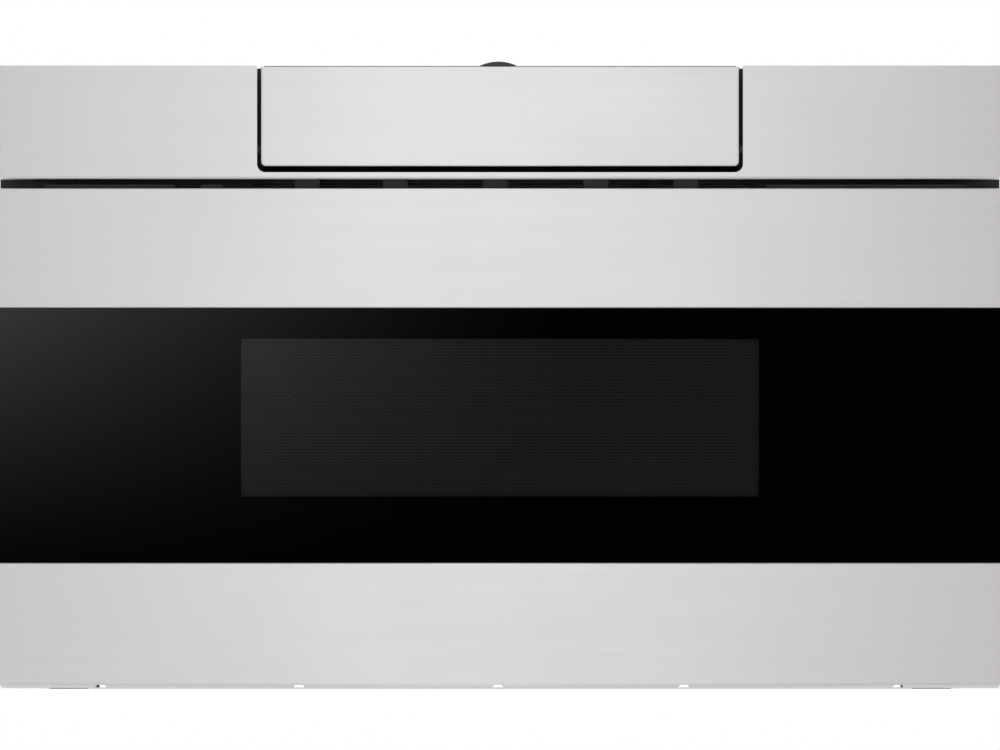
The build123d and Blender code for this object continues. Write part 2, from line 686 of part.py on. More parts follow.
with BuildPart() as drive_motor:
    gearbox_x = -PINION_DX - GEARBOX_W / 2
    with BuildSketch(Plane.XY.offset(PAN_Z)):
        with Locations((gearbox_x + 6, PINION_Y)):
            RectangleRounded(GEARBOX_W, GEARBOX_D, 5)
    extrude(amount=GEARBOX_TOP - PAN_Z)
    with BuildSketch(Plane.YZ.offset(gearbox_x + 6 - GEARBOX_W / 2)):
        with Locations((PINION_Y, PAN_Z + MOTOR_R)):
            Circle(MOTOR_R)
    extrude(amount=-MOTOR_L)
    chamfer(drive_motor.faces().sort_by(Axis.X)[0].edges(), 1.5)
    with Locations((-PINION_DX, PINION_Y, GEARBOX_TOP)):
        Hole(SHAFT_R + SHAFT_FIT, depth=SHAFT_IN + 1)
save(drive_motor.part, "drive_motor")

# Block that the rack slides on and leans against
with BuildPart() as rack_guide:
    with BuildSketch(facing_front(PINION_Y - GUIDE_D / 2)):
        with BuildLine():
            Polyline(
                (2.5, PAN_Z),
                (RACK_BACK_X + GUIDE_T, PAN_Z),
                (RACK_BACK_X + GUIDE_T, RACK_Z + RACK_H + 3),
                (RACK_BACK_X + GUIDE_FIT, RACK_Z + RACK_H + 3),
                (RACK_BACK_X + GUIDE_FIT, RACK_Z - GUIDE_FIT),
                (2.5, RACK_Z - GUIDE_FIT),
                close=True,
            )
        make_face()
    extrude(amount=-GUIDE_D)
save(rack_guide.part, "rack_guide")

# ---- The chassis -------------------------------------------------------------------------------


def screw_heads(points, plane):
    """Hexagon heads of sheet screws, sitting on the plane."""
    with BuildPart() as group:
        with BuildSketch(plane):
            with Locations(*points):
                RegularPolygon(SCREW_HEAD_R, 6)
        extrude(amount=SCREW_HEAD_H)
    return group.part


with BuildPart() as base_feet:
    with BuildSketch(Plane.XY):
        with Locations((0, CHASSIS_MID_Y)):
            with GridLocations(2 * FOOT_X, CHASSIS_D - 2 * FOOT_IN, 2, 2):
                Circle(FOOT_R)
    extrude(amount=FOOT_H)
save(base_feet.part, "base_feet")

with BuildPart() as base_pan:
    with BuildSketch(Plane.XY.offset(FOOT_H)):
        with Locations((0, CHASSIS_MID_Y)):
            Rectangle(CHASSIS_W - 2 * PLATE, CHASSIS_D)
    extrude(amount=PAN_H)
    offset(amount=-PLATE, openings=base_pan.faces().sort_by(Axis.Z)[-1])
    with BuildSketch(Plane.XY.offset(FOOT_H)):
        with Locations((0, CHASSIS_MID_Y + CHASSIS_D * 0.3)):
            with GridLocations(PAN_SLOT_PITCH, 0, PAN_SLOTS, 1):
                Rectangle(SLOT_H, PAN_SLOT_L)
    extrude(amount=PLATE, mode=Mode.SUBTRACT)
save(base_pan.part, "base_pan")

def stiffener(plane, width, height, recess):
    """The raised form of a pressed stiffener, or the hollow that is a recess behind it."""
    with BuildPart() as pressed:
        with BuildSketch(plane.offset(-recess)):
            Rectangle(width - recess, height - recess)
        extrude(amount=EMBOSS, taper=EMBOSS_SLOPE)
    return pressed.part


def press(plane, width, height):
    """Presses a stiffener outwards into the sheet of the open part."""
    add(stiffener(plane, width, height, 0))
    add(stiffener(plane, width, height, PLATE), mode=Mode.SUBTRACT)


with BuildPart() as side_panel:
    with BuildSketch(Plane.YZ.offset(CHASSIS_W / 2)):
        with Locations((CHASSIS_MID_Y, (FOOT_H + CHASSIS_TOP - PLATE) / 2)):
            Rectangle(CHASSIS_D, CHASSIS_TOP - PLATE - FOOT_H)
        with Locations((CHASSIS_MID_Y + CHASSIS_D * 0.3, CHASSIS_TOP - 90)):
            with GridLocations(0, SLOT_PITCH, 1, SIDE_SLOTS):
                Rectangle(SIDE_SLOT_L, SLOT_H, mode=Mode.SUBTRACT)
    extrude(amount=-PLATE)
    # flange under the top cover
    with BuildSketch(Plane.XY.offset(CHASSIS_TOP - PLATE)):
        with Locations((CHASSIS_W / 2 - SIDE_FLANGE / 2, CHASSIS_MID_Y)):
            Rectangle(SIDE_FLANGE, CHASSIS_D)
    extrude(amount=-PLATE)
    # tabs for the back panel's screws
    with BuildSketch(facing_front(BACK_Y - 2 * PLATE)):
        with Locations(*[(x, z) for x, z in BACK_SCREWS if x > 0]):
            Rectangle(2 * BACK_SCREW_IN, 1.5 * BACK_TAB)
    extrude(amount=-PLATE)
    for y, z, length, height in (
        (CHASSIS_MID_Y, RAIL_Z + RAIL_H / 2 + 72, CHASSIS_D - 110, 56),
        (CHASSIS_MID_Y - CHASSIS_D * 0.14, CHASSIS_TOP - 60, CHASSIS_D * 0.5, 70),
    ):
        press(Plane(origin=(CHASSIS_W / 2, y, z), x_dir=(0, 1, 0), z_dir=(1, 0, 0)), length, height)
save_pair(side_panel.part, "side_panel")

with BuildPart() as top_cover:
    with BuildSketch(Plane.XY.offset(CHASSIS_TOP)):
        with Locations((0, CHASSIS_MID_Y)):
            Rectangle(CHASSIS_W, CHASSIS_D)
            with Locations((0, CHASSIS_D * 0.3)):
                with GridLocations(COVER_SLOT_L + 14, COVER_SLOT_PITCH, *COVER_SLOTS):
                    Rectangle(COVER_SLOT_L, COVER_SLOT_H, mode=Mode.SUBTRACT)
        with Locations((0, CHASSIS_Y)):
            Rectangle(BAY_W + 6, 2 * (BAY_BACK_Y + 3 - CHASSIS_Y), mode=Mode.SUBTRACT)
    extrude(amount=-PLATE)
    stiff_y = CHASSIS_MID_Y - CHASSIS_D * 0.08
    press(Plane((0, stiff_y, CHASSIS_TOP)), CHASSIS_W - 120, CHASSIS_D * 0.48)
save(top_cover.part, "top_cover")

with BuildPart() as back_panel:
    with BuildSketch(facing_front(BACK_Y - PLATE)):
        with Locations((0, (FOOT_H + CHASSIS_TOP) / 2)):
            Rectangle(CHASSIS_W, CHASSIS_TOP - FOOT_H)
        with Locations((FAN_X, FAN_Z)):
            with GridLocations(0, SLOT_PITCH, 1, FAN_SLOTS):
                Rectangle(FAN_SLOT_L, SLOT_H, mode=Mode.SUBTRACT)
        with Locations((BUSHING_X, BUSHING_Z)):
            Circle(BUSHING_R + BUSHING_FIT, mode=Mode.SUBTRACT)
    extrude(amount=-PLATE)
    press(facing_back(BACK_Y).shift_origin((0, BACK_Y, CHASSIS_TOP - 110)), CHASSIS_W - 110, 120)
save(back_panel.part, "back_panel")

with BuildPart() as cover_screws:
    add(screw_heads(COVER_SCREWS, Plane.XY.offset(CHASSIS_TOP)))
    add(screw_heads([(-x, z) for x, z in BACK_SCREWS], facing_back(BACK_Y)))
save(cover_screws.part, "cover_screws")

# Grommet with a groove that the back panel's edge sits in
with BuildPart() as cord_bushing:
    section = Plane(origin=(BUSHING_X, BACK_Y, BUSHING_Z), x_dir=(1, 0, 0), z_dir=(0, 0, 1))
    with BuildSketch(section):
        with BuildLine():
            Polyline(
                (BUSHING_BORE_R, -6),
                (BUSHING_R + 2, -6),
                (BUSHING_R + 2, -PLATE),
                (BUSHING_R, -PLATE),
                (BUSHING_R, 0),
                (BUSHING_R + 3, 0),
                (BUSHING_R + 1.5, BUSHING_REACH),
                (BUSHING_BORE_R, BUSHING_REACH),
                close=True,
            )
        make_face()
    revolve(axis=Axis(section.origin, (0, 1, 0)))
save(cord_bushing.part, "cord_bushing")

# The mounting flange: a plate behind the front, screwed to the cabinet through its side edges
with BuildPart() as front_frame:
    with BuildSketch(facing_front(FLANGE_Y)):
        with Locations((0, (FOOT_H + FLANGE_TOP) / 2)):
            RectangleRounded(FRONT_W - 2 * FLANGE_SIDE, FLANGE_TOP - FOOT_H, 3)
        with Locations((0, CAVITY_MID_Z)):
            RectangleRounded(CAVITY_W, CAVITY_H, 8, mode=Mode.SUBTRACT)
        with Locations((0, MOUNT_Z)):
            with GridLocations(MOUNT_DX, MOUNT_DZ, 2, 2):
                Circle(MOUNT_R, mode=Mode.SUBTRACT)
        with Locations((0, RAIL_Z)):
            with GridLocations(2 * RAIL_OPENING_X + RAIL_DEPTHS[0], 0, 2, 1):
                Rectangle(RAIL_DEPTHS[0] + 4, RAIL_H + 5, mode=Mode.SUBTRACT)
        with Locations((0, HOOK_Z + 1)):
            with GridLocations(2 * HOOK_X, 0, 2, 1):
                Rectangle(8, 18, mode=Mode.SUBTRACT)
        with Locations(((RACK_BACK_X - MODULE) / 2, RACK_Z + RACK_H / 2)):
            Rectangle(RACK_BACK_X + MODULE + 4, RACK_H + 6, mode=Mode.SUBTRACT)
        with Locations((0, VENT_Z)):
            with GridLocations(VENT_PITCH, 0, VENT_COUNT, 1):
                Rectangle(VENT_PITCH - VENT_BAR, VENT_H, mode=Mode.SUBTRACT)
        with Locations((0, FLANGE_TOP)):
            Rectangle(BAY_W + 6, 2 * (FLANGE_TOP - DRAWER_TOP - 1), mode=Mode.SUBTRACT)
    extrude(amount=-PLATE)
save(front_frame.part, "front_frame")

# ---- The fascia and its control flap ------------------------------------------------------------


def fascia_outline(inset):
    """The fascia with its notch for the flap, drawn in by inset on every edge of the sheet."""
    with BuildSketch(facing_front(FRONT_Y)) as outline:
        with Locations((0, (FASCIA_Z0 + FASCIA_Z1) / 2)):
            Rectangle(FRONT_W - 2 * inset, FASCIA_H - 2 * inset)
        with Locations((0, FASCIA_Z1)):
            notch_h = 2 * (FASCIA_Z1 - BAR_TOP + inset)
            notch_r = OPENING_CORNER_R + inset
            RectangleRounded(FLAP_OPENING_W + 2 * inset, notch_h, notch_r, mode=Mode.SUBTRACT)
    return outline.sketch


with BuildPart() as fascia_skin:
    extrude(fascia_outline(0), amount=-SKIN)
    extrude(fascia_outline(0) - fascia_outline(SKIN), amount=-(FLANGE_Y - FRONT_Y))
    face_edges = fascia_skin.faces().sort_by(Axis.Y)[0].edges()
    fillet(face_edges.group_by(Axis.X)[0] + face_edges.group_by(Axis.X)[-1], EDGE_R)
    lower_edge = fascia_skin.edges().filter_by(Axis.X).sort_by(lambda e: e.center().Y + e.center().Z)[0]
    fillet(lower_edge, FASCIA_BEND_R)
    inside = Vertex(0, FRONT_Y + SKIN, FASCIA_Z0 + SKIN)
    fillet(fascia_skin.edges().filter_by(Axis.X).sort_by_distance(inside)[0], FASCIA_BEND_R - SKIN)
    # the returns round the notch are short
    box(
        (-FLAP_OPENING_W / 2 - SKIN, FRONT_Y + NOTCH_RETURN, BAR_TOP - SKIN),
        (FLAP_OPENING_W / 2 + SKIN, FLANGE_Y, FASCIA_Z1),
        Mode.SUBTRACT,
    )
save(fascia_skin.part, "fascia_skin")


def flap_outline(inset):
    """The flap's face, drawn in by inset on its sides and its lower edge."""
    with BuildSketch(facing_front(FRONT_Y)) as outline:
        with Locations((0, (FLAP_Z0 + inset + FLAP_TOP) / 2)):
            Rectangle(FLAP_W - 2 * inset, FLAP_TOP - FLAP_Z0 - inset)
        fillet(outline.vertices().group_by(Axis.Y)[0], FLAP_CORNER_R - inset)
    return outline.sketch


with BuildPart() as flap_skin:
    extrude(flap_outline(0), amount=-SKIN)
    extrude(flap_outline(0) - flap_outline(SKIN), amount=-FLAP_RETURN)
    fillet(flap_skin.faces().sort_by(Axis.Y)[0].edges().sort_by(Axis.Z)[:-1], EDGE_R)
save(flap_skin.part, "flap_skin")


def arc_height(z):
    """How far behind the flap's axis the housing's curved back is at a height."""
    return FLAP_AXIS_Y + sqrt(HOUSING_R**2 - (z - FLAP_AXIS_Z) ** 2)


housing_low = FLAP_Z0 + SKIN + FLAP_FIT
housing_high = FASCIA_Z1 - HOUSING_DROP
recess_y = FRONT_Y + SKIN + TAB_T + 1
touch_d = arc_height(housing_high) - recess_y - TOUCH_EDGE
pocket_y = (FRONT_Y + SKIN + POCKET_WALL, arc_height(housing_high) - POCKET_WALL)
pocket_z = housing_high - POCKET_ROOF
middle_angle = radians(20)
with BuildPart() as control_housing:
    with BuildSketch(Plane.YZ):
        with BuildLine():
            front_y = FRONT_Y + SKIN
            low = (arc_height(housing_low), housing_low)
            high = (arc_height(housing_high), housing_high)
            centre = (FLAP_AXIS_Y, FLAP_AXIS_Z)
            middle = tuple(c + p for c, p in zip(centre, polar(HOUSING_R, middle_angle)))
            Line((front_y, housing_low), low)
            ThreePointArc(low, middle, high)
            Polyline(high, (front_y, housing_high), (front_y, housing_low))
        make_face()
    extrude(amount=FLAP_W / 2 - SKIN - FLAP_FIT, both=True)
    # pocket for the control board, open below
    box(
        (-POCKET_W / 2, pocket_y[0], housing_low),
        (POCKET_W / 2, pocket_y[1], pocket_z),
        Mode.SUBTRACT,
    )
    # recess for the touch panel
    box(
        (-TOUCH_W / 2 - TOUCH_FIT, recess_y, housing_high - TOUCH_T),
        (TOUCH_W / 2 + TOUCH_FIT, recess_y + touch_d + 2 * TOUCH_FIT, housing_high),
        Mode.SUBTRACT,
    )
    # bores for the two pivots
    for side in (-1, 1):
        with BuildSketch(Plane.YZ.offset(side * (FLAP_W / 2 - PIVOT_IN))):
            with Locations((FLAP_AXIS_Y, FLAP_AXIS_Z)):
                Circle(PIVOT_R + SHAFT_FIT)
        extrude(amount=side * PIVOT_IN, mode=Mode.SUBTRACT)
    # tab at the top that the flap is pulled by
    tab_h = FASCIA_Z1 + TAB_RISE - housing_high
    tab_r = (TAB_W**2 / 4 + tab_h**2) / (2 * tab_h)
    with BuildSketch(facing_front(FRONT_Y + SKIN)):
        with Locations((TAB_X, housing_high + tab_h - tab_r)):
            Circle(tab_r)
        with Locations((TAB_X, housing_high)):
            Rectangle(TAB_W, 2 * tab_h, mode=Mode.INTERSECT)
    extrude(amount=-TAB_T)
save(control_housing.part, "control_housing")

with BuildPart() as touch_panel:
    with BuildSketch(Plane.XY.offset(housing_high - TOUCH_T)):
        with Locations((0, recess_y + TOUCH_FIT + touch_d / 2)):
            RectangleRounded(TOUCH_W, touch_d, 2)
    extrude(amount=TOUCH_T)
save(touch_panel.part, "touch_panel")

with BuildPart() as control_board:
    board_mid = (0, sum(pocket_y) / 2)
    board_d = pocket_y[1] - pocket_y[0] - 8
    with BuildSketch(Plane.XY.offset(pocket_z)):
        with Locations(board_mid):
            with GridLocations(POCKET_W - 20, board_d - 10, 2, 2):
                Rectangle(6, 6)
    extrude(amount=-BOARD_LIFT)
    with BuildSketch(Plane.XY.offset(pocket_z - BOARD_LIFT)):
        with Locations(board_mid):
            Rectangle(POCKET_W - 8, board_d)
    extrude(amount=-BOARD_T)
    with BuildSketch(Plane.XY.offset(pocket_z - BOARD_LIFT - BOARD_T)):
        with Locations(board_mid):
            with GridLocations(60, 0, 4, 1):
                Rectangle(22, 14)
            with Locations((110, -8)):
                Circle(6)
    extrude(amount=-7)
save(control_board.part, "control_board")

# Fixed bay round the flap's housing: two cheeks, a floor and a curved back
with BuildPart() as control_bay:
    bay_low = FASCIA_Z0 + SKIN + 0.2
    bay_front = FRONT_Y + NOTCH_RETURN + 0.5
    inner = BAY_W / 2 - BAY_WALL
    with BuildSketch(Plane.YZ.offset(-BAY_W / 2)) as bay_section:
        with BuildLine():
            Polyline(
                (bay_front, bay_low),
                (BAY_BACK_Y, bay_low),
                (BAY_BACK_Y, CHASSIS_TOP - BAY_CORNER),
                (BAY_BACK_Y - BAY_CORNER, CHASSIS_TOP),
                (FLANGE_Y - 1, CHASSIS_TOP),
                (FLANGE_Y - 1, FASCIA_Z1 - SKIN - BAY_DROP),
                (bay_front, FASCIA_Z1 - SKIN - BAY_DROP),
                close=True,
            )
        make_face()
    extrude(amount=BAY_W)
    with BuildSketch(Plane.YZ.offset(-inner)):
        with Locations((FLAP_AXIS_Y, FLAP_AXIS_Z)):
            Circle(BAY_R)
        with Locations((FLAP_AXIS_Y, bay_low + 2)):
            Rectangle(400, 400, align=(Align.CENTER, Align.MIN), mode=Mode.INTERSECT)
    extrude(amount=2 * inner, mode=Mode.SUBTRACT)
    housing_side = FLAP_W / 2 - SKIN - FLAP_FIT
    lip_y = FLAP_AXIS_Y + BAY_LIP_Y
    for side in (-1, 1):
        with BuildSketch(Plane.YZ.offset(side * BAY_W / 2)):
            with Locations((FLAP_AXIS_Y, FLAP_AXIS_Z)):
                Circle(PIVOT_R)
        extrude(amount=-side * BAY_WALL, mode=Mode.SUBTRACT)
        low_x, high_x = sorted((side * (housing_side + BAY_LIP_FIT), side * BAY_W / 2))
        box((low_x, lip_y, bay_low), (high_x, lip_y + BAY_LIP_T, FASCIA_Z1 - SKIN - BAY_DROP))
save(control_bay.part, "control_bay")

with BuildPart() as flap_pins:
    for side in (-1, 1):
        with BuildSketch(Plane.YZ.offset(side * BAY_W / 2)):
            with Locations((FLAP_AXIS_Y, FLAP_AXIS_Z)):
                Circle(PIVOT_R)
        extrude(amount=-side * (BAY_W / 2 - FLAP_W / 2 + PIVOT_IN - 1))
save(flap_pins.part, "flap_pins")

# Black strip that closes the back of the air gap, with the ribs that stand in it
with BuildPart() as air_louvre:
    strip_low, strip_high = DRAWER_TOP + 0.6, FASCIA_Z0 - 0.1
    with BuildSketch(facing_front(FLANGE_Y)):
        with Locations((0, (strip_low + strip_high) / 2)):
            Rectangle(LOUVRE_W, strip_high - strip_low)
            Rectangle(BAY_W, strip_high - strip_low - 2 * LOUVRE_EDGE, mode=Mode.SUBTRACT)
    extrude(amount=LOUVRE_T)
    with BuildSketch(facing_front(FLANGE_Y)):
        for x in LOUVRE_XS:
            with Locations((x, (strip_low + strip_high) / 2)):
                Rectangle(LOUVRE_RIB_W, strip_high - strip_low)
        for x0, x1 in LOUVRE_LEDGES:
            with Locations(((x0 + x1) / 2, strip_low + LOUVRE_LEDGE_H / 2)):
                Rectangle(x1 - x0, LOUVRE_LEDGE_H)
    extrude(amount=LOUVRE_T + LOUVRE_RIB_D)
save(air_louvre.part, "air_louvre")

# ---- The oven --------------------------------------------------------------------------------

with BuildPart() as cavity_box:
    box(
        (-CAVITY_W / 2 - CAVITY_T, CHASSIS_Y, CAVITY_Z0 - CAVITY_T),
        (CAVITY_W / 2 + CAVITY_T, CAVITY_BACK_Y, CAVITY_TOP),
    )
    fillet(cavity_box.edges().filter_by(Axis.Y), 6)
    offset(amount=-CAVITY_T, openings=cavity_box.faces().sort_by(Axis.Y)[0])
    with BuildSketch(facing_front(CHASSIS_Y)):
        with Locations((0, CAVITY_MID_Z)):
            RectangleRounded(CAVITY_W + 24, CAVITY_H + 24, 6)
            RectangleRounded(CAVITY_W, CAVITY_H, 5, mode=Mode.SUBTRACT)
    extrude(amount=-CAVITY_T)
    with Locations((0, STIRRER_Y, CAVITY_TOP)):
        Hole(STIRRER_HOLE_R, depth=5)
    with Locations((LAMP_X, LAMP_Y, CAVITY_TOP)):
        Hole(LAMP_HOLE_R, depth=5)
save(cavity_box.part, "cavity_box")

with BuildPart() as waveguide:
    floor_z, roof_z = CAVITY_TOP, CAVITY_TOP + GUIDE_HEIGHT
    box((-GUIDE_WIDTH / 2, GUIDE_FRONT_Y, floor_z), (GUIDE_WIDTH / 2, GUIDE_BACK_Y, roof_z))
    box(
        (-GUIDE_WIDTH / 2 + GUIDE_SHEET, GUIDE_FRONT_Y + GUIDE_SHEET, floor_z + GUIDE_SHEET),
        (GUIDE_WIDTH / 2 - GUIDE_SHEET, GUIDE_BACK_Y - GUIDE_SHEET, roof_z - GUIDE_SHEET),
        Mode.SUBTRACT,
    )
    for y, z, r in (
        (STIRRER_Y, floor_z, STIRRER_HOLE_R),
        (MAGNETRON_Y, floor_z, ANTENNA_R + 3),
        (STIRRER_Y, roof_z, STIRRER_SHAFT_R + 1.5),
    ):
        with Locations((0, y, z)):
            Cylinder(r, 3, mode=Mode.SUBTRACT)
save(waveguide.part, "waveguide")


def cover_dish(drop, side, depth):
    """The dish's outline from drop below the cavity's roof, as deep as depth."""
    with BuildPart() as dish:
        with BuildSketch(Plane.XY.offset(CAVITY_Z0 + CAVITY_H - drop)):
            RectangleRounded(side, side, STIRRER_COVER_R)
        extrude(amount=-depth, taper=COVER_SLOPE)
    return dish.part


# Shallow dish under the cavity's roof, over the stirrer
with BuildPart() as stirrer_cover:
    with BuildSketch(Plane.XY.offset(CAVITY_Z0 + CAVITY_H)):
        RectangleRounded(STIRRER_COVER_W, STIRRER_COVER_W, STIRRER_COVER_R)
    extrude(amount=-COVER_SHEET)
    dish_w = STIRRER_COVER_W - 2 * COVER_RIM
    add(cover_dish(COVER_SHEET, dish_w, STIRRER_COVER_H - COVER_SHEET))
    add(cover_dish(0, dish_w - 2 * COVER_SHEET, STIRRER_COVER_H - COVER_SHEET), mode=Mode.SUBTRACT)
save(stirrer_cover.part.moved(Location((0, STIRRER_Y, 0))), "stirrer_cover")

with BuildPart() as stirrer:
    plate_z = CAVITY_Z0 + CAVITY_H - STIRRER_DROP
    with BuildSketch(Plane.XY.offset(plate_z)):
        Circle(BLADE_HUB_R)
        for turn in (0, 90, 180, 270):
            with Locations(Location((0, 0, 0), (0, 0, turn))):
                with Locations((STIRRER_R / 2, 0)):
                    Rectangle(STIRRER_R, BLADE_W)
    extrude(amount=BLADE_T)
    with BuildSketch(Plane.XY.offset(plate_z)):
        Circle(STIRRER_SHAFT_R)
    extrude(amount=STIRRER_DROP + CAVITY_T + GUIDE_HEIGHT + STIRRER_SHAFT_IN)
save(stirrer.part.moved(Location((0, STIRRER_Y, 0))), "stirrer")

with BuildPart() as stirrer_motor:
    with BuildSketch(Plane.XY.offset(CAVITY_TOP + GUIDE_HEIGHT)):
        Circle(STIRRER_MOTOR_R)
        with GridLocations(2 * STIRRER_MOTOR_R + 6, 0, 2, 1):
            Circle(5)
    extrude(amount=2)
    with BuildSketch(Plane.XY.offset(CAVITY_TOP + GUIDE_HEIGHT)):
        Circle(STIRRER_MOTOR_R)
    extrude(amount=STIRRER_MOTOR_H)
    with Locations((0, 0, CAVITY_TOP + GUIDE_HEIGHT)):
        Cylinder(
            STIRRER_SHAFT_R + SHAFT_FIT,
            STIRRER_SHAFT_IN + 2,
            align=(Align.CENTER, Align.CENTER, Align.MIN),
            mode=Mode.SUBTRACT,
        )
save(stirrer_motor.part.moved(Location((0, STIRRER_Y, 0))), "stirrer_motor")

# Magnetron: yoke, stack of cooling fins, filter box and the antenna in the waveguide
with BuildPart() as magnetron:
    top_z = CAVITY_TOP
    base_z = top_z - MAGNETRON_H
    with BuildSketch(facing_front(MAGNETRON_Y - MAGNETRON_D / 2)):
        with Locations((0, (top_z + base_z) / 2)):
            Rectangle(MAGNETRON_W, MAGNETRON_H)
            Rectangle(MAGNETRON_W - 2 * YOKE_T, MAGNETRON_H - 2 * YOKE_T, mode=Mode.SUBTRACT)
    extrude(amount=-MAGNETRON_D)
    with BuildSketch(Plane.XY.offset(base_z)):
        with Locations((0, MAGNETRON_Y)):
            RegularPolygon(ANODE_R, 12)
    extrude(amount=MAGNETRON_H)
    for end_z in (base_z + YOKE_T, top_z - YOKE_T - MAGNET_H):
        with BuildSketch(Plane.XY.offset(end_z)):
            with Locations((0, MAGNETRON_Y)):
                RegularPolygon(MAGNET_R, 16)
        extrude(amount=MAGNET_H)
    for n in range(FIN_COUNT):
        fin_z = base_z + 18 + n * (MAGNETRON_H - 36) / (FIN_COUNT - 1)
        with BuildSketch(Plane.XY.offset(fin_z - FIN_T / 2)):
            with Locations((0, MAGNETRON_Y)):
                Rectangle(MAGNETRON_W - 3, MAGNETRON_D - 8)
        extrude(amount=FIN_T)
    with BuildSketch(Plane.XY.offset(base_z)):
        with Locations((0, MAGNETRON_Y)):
            Rectangle(MAGNETRON_W - 30, MAGNETRON_D - 14)
    extrude(amount=-FILTER_BOX_H)
    with BuildSketch(Plane.XY.offset(top_z)):
        with Locations((0, MAGNETRON_Y)):
            Circle(ANTENNA_R)
    extrude(amount=ANTENNA_H)
    chamfer(magnetron.faces().sort_by(Axis.Z)[-1].edges(), 2)
save(magnetron.part, "magnetron")

with BuildPart() as hv_transformer:
    with BuildSketch(facing_front(TRANSFORMER_Y - CORE_D / 2)):
        with Locations((TRANSFORMER_X, PAN_Z + CORE_LIFT + CORE_H / 2)):
            Rectangle(CORE_W, CORE_H)
            with GridLocations(CORE_W / 2 - CORE_LEG / 2 + 4, 0, 2, 1):
                Rectangle(CORE_W / 2 - 1.5 * CORE_LEG - 4, CORE_H - 2 * CORE_LEG, mode=Mode.SUBTRACT)
    extrude(amount=-CORE_D)
    for level in (-1, 1):
        middle_z = PAN_Z + CORE_LIFT + CORE_H / 2 + level * WINDING_STEP / 2
        with BuildSketch(Plane.XY.offset(middle_z - WINDING_H / 2)):
            with Locations((TRANSFORMER_X, TRANSFORMER_Y)):
                RectangleRounded(CORE_W - 2 * CORE_LEG - 1, CORE_D + 2 * WINDING_OUT, WINDING_OUT)
        extrude(amount=WINDING_H)
    with BuildSketch(Plane.XY.offset(PAN_Z)):
        with Locations((TRANSFORMER_X, TRANSFORMER_Y)):
            Rectangle(CORE_W + 2 * CORE_FOOT, CORE_D)
    extrude(amount=CORE_LIFT)
save(hv_transformer.part, "hv_transformer")

with BuildPart() as hv_capacitor:
    with BuildSketch(Plane.XY.offset(PAN_Z)):
        with Locations((CAPACITOR_X, CAPACITOR_Y)):
            SlotOverall(CAPACITOR_W, CAPACITOR_D)
    extrude(amount=CAPACITOR_H)
    chamfer(hv_capacitor.faces().sort_by(Axis.Z)[-1].edges(), 1.5)
    with BuildSketch(Plane.XY.offset(PAN_Z + CAPACITOR_H)):
        with Locations((CAPACITOR_X, CAPACITOR_Y)):
            with GridLocations(TERMINAL_STEP, 0, 2, 1):
                Rectangle(TERMINAL_T, TERMINAL_W)
    extrude(amount=TERMINAL_H)
save(hv_capacitor.part, "hv_capacitor")

with BuildPart() as capacitor_clamp:
    with BuildSketch(Plane.XY.offset(PAN_Z + CAPACITOR_H / 2)):
        with Locations((CAPACITOR_X, CAPACITOR_Y)):
            for grow, how in ((CLAMP_FIT + CLAMP_T, Mode.ADD), (CLAMP_FIT, Mode.SUBTRACT)):
                SlotOverall(CAPACITOR_W + 2 * grow, CAPACITOR_D + 2 * grow, mode=how)
    extrude(amount=CLAMP_H)
    leg_x = CAPACITOR_X + CAPACITOR_W / 2 + CLAMP_FIT
    leg_y = (CAPACITOR_Y - CLAMP_W / 2, CAPACITOR_Y + CLAMP_W / 2)
    leg_top = PAN_Z + CAPACITOR_H / 2 + CLAMP_H
    box((leg_x, leg_y[0], PAN_Z), (leg_x + CLAMP_T, leg_y[1], leg_top))
    box((leg_x, leg_y[0], PAN_Z), (leg_x + CLAMP_H, leg_y[1], PAN_Z + CLAMP_T))
save(capacitor_clamp.part, "capacitor_clamp")

# ---- Cooling fan --------------------------------------------------------------------------------

with BuildPart() as fan_shroud:
    ring_r = FAN_R + FAN_RING_GAP
    ring_end = FAN_Y + FAN_D + FAN_RING_OVER
    with BuildSketch(facing_front(FAN_Y - FAN_RING_T)):
        with Locations((FAN_X, (PAN_Z + FAN_Z + SHROUD_W / 2) / 2)):
            Rectangle(SHROUD_W, FAN_Z + SHROUD_W / 2 - PAN_Z)
        with Locations((FAN_X, FAN_Z)):
            Circle(ring_r, mode=Mode.SUBTRACT)
    extrude(amount=-FAN_RING_T)
    with BuildSketch(facing_front(FAN_Y)):
        with Locations((FAN_X, FAN_Z)):
            Circle(ring_r + FAN_RING_T)
            Circle(ring_r, mode=Mode.SUBTRACT)
    extrude(amount=-(FAN_D + FAN_RING_OVER))
    with BuildSketch(facing_front(ring_end)):
        with Locations((FAN_X, FAN_Z)):
            Circle(ring_r + FAN_RING_T)
            Circle(FAN_R + 0.5, mode=Mode.SUBTRACT)
            Circle(FAN_SPIDER_R)
            for turn in (30, 150, 270):
                with Locations(Location((0, 0, 0), (0, 0, turn))):
                    with Locations((FAN_R / 2 + 8, 0)):
                        Rectangle(FAN_R - 10, FAN_SPIDER_W)
            Circle(FAN_SHAFT_R + 2, mode=Mode.SUBTRACT)
    extrude(amount=-FAN_SPIDER_T)
save(fan_shroud.part, "fan_shroud")

with BuildPart() as fan_motor:
    motor_y = ring_end + FAN_SPIDER_T
    with BuildSketch(facing_front(motor_y)):
        with Locations((FAN_X, FAN_Z)):
            Circle(FAN_MOTOR_R)
            Circle(FAN_SHAFT_R + SHAFT_FIT, mode=Mode.SUBTRACT)
    extrude(amount=-FAN_MOTOR_L)
    with BuildSketch(facing_front(motor_y + 10)):
        with Locations((FAN_X, FAN_Z)):
            Rectangle(*FAN_CORE[:2])
            Circle(FAN_MOTOR_R - 1, mode=Mode.SUBTRACT)
    extrude(amount=-FAN_CORE[2])
save(fan_motor.part, "fan_motor")

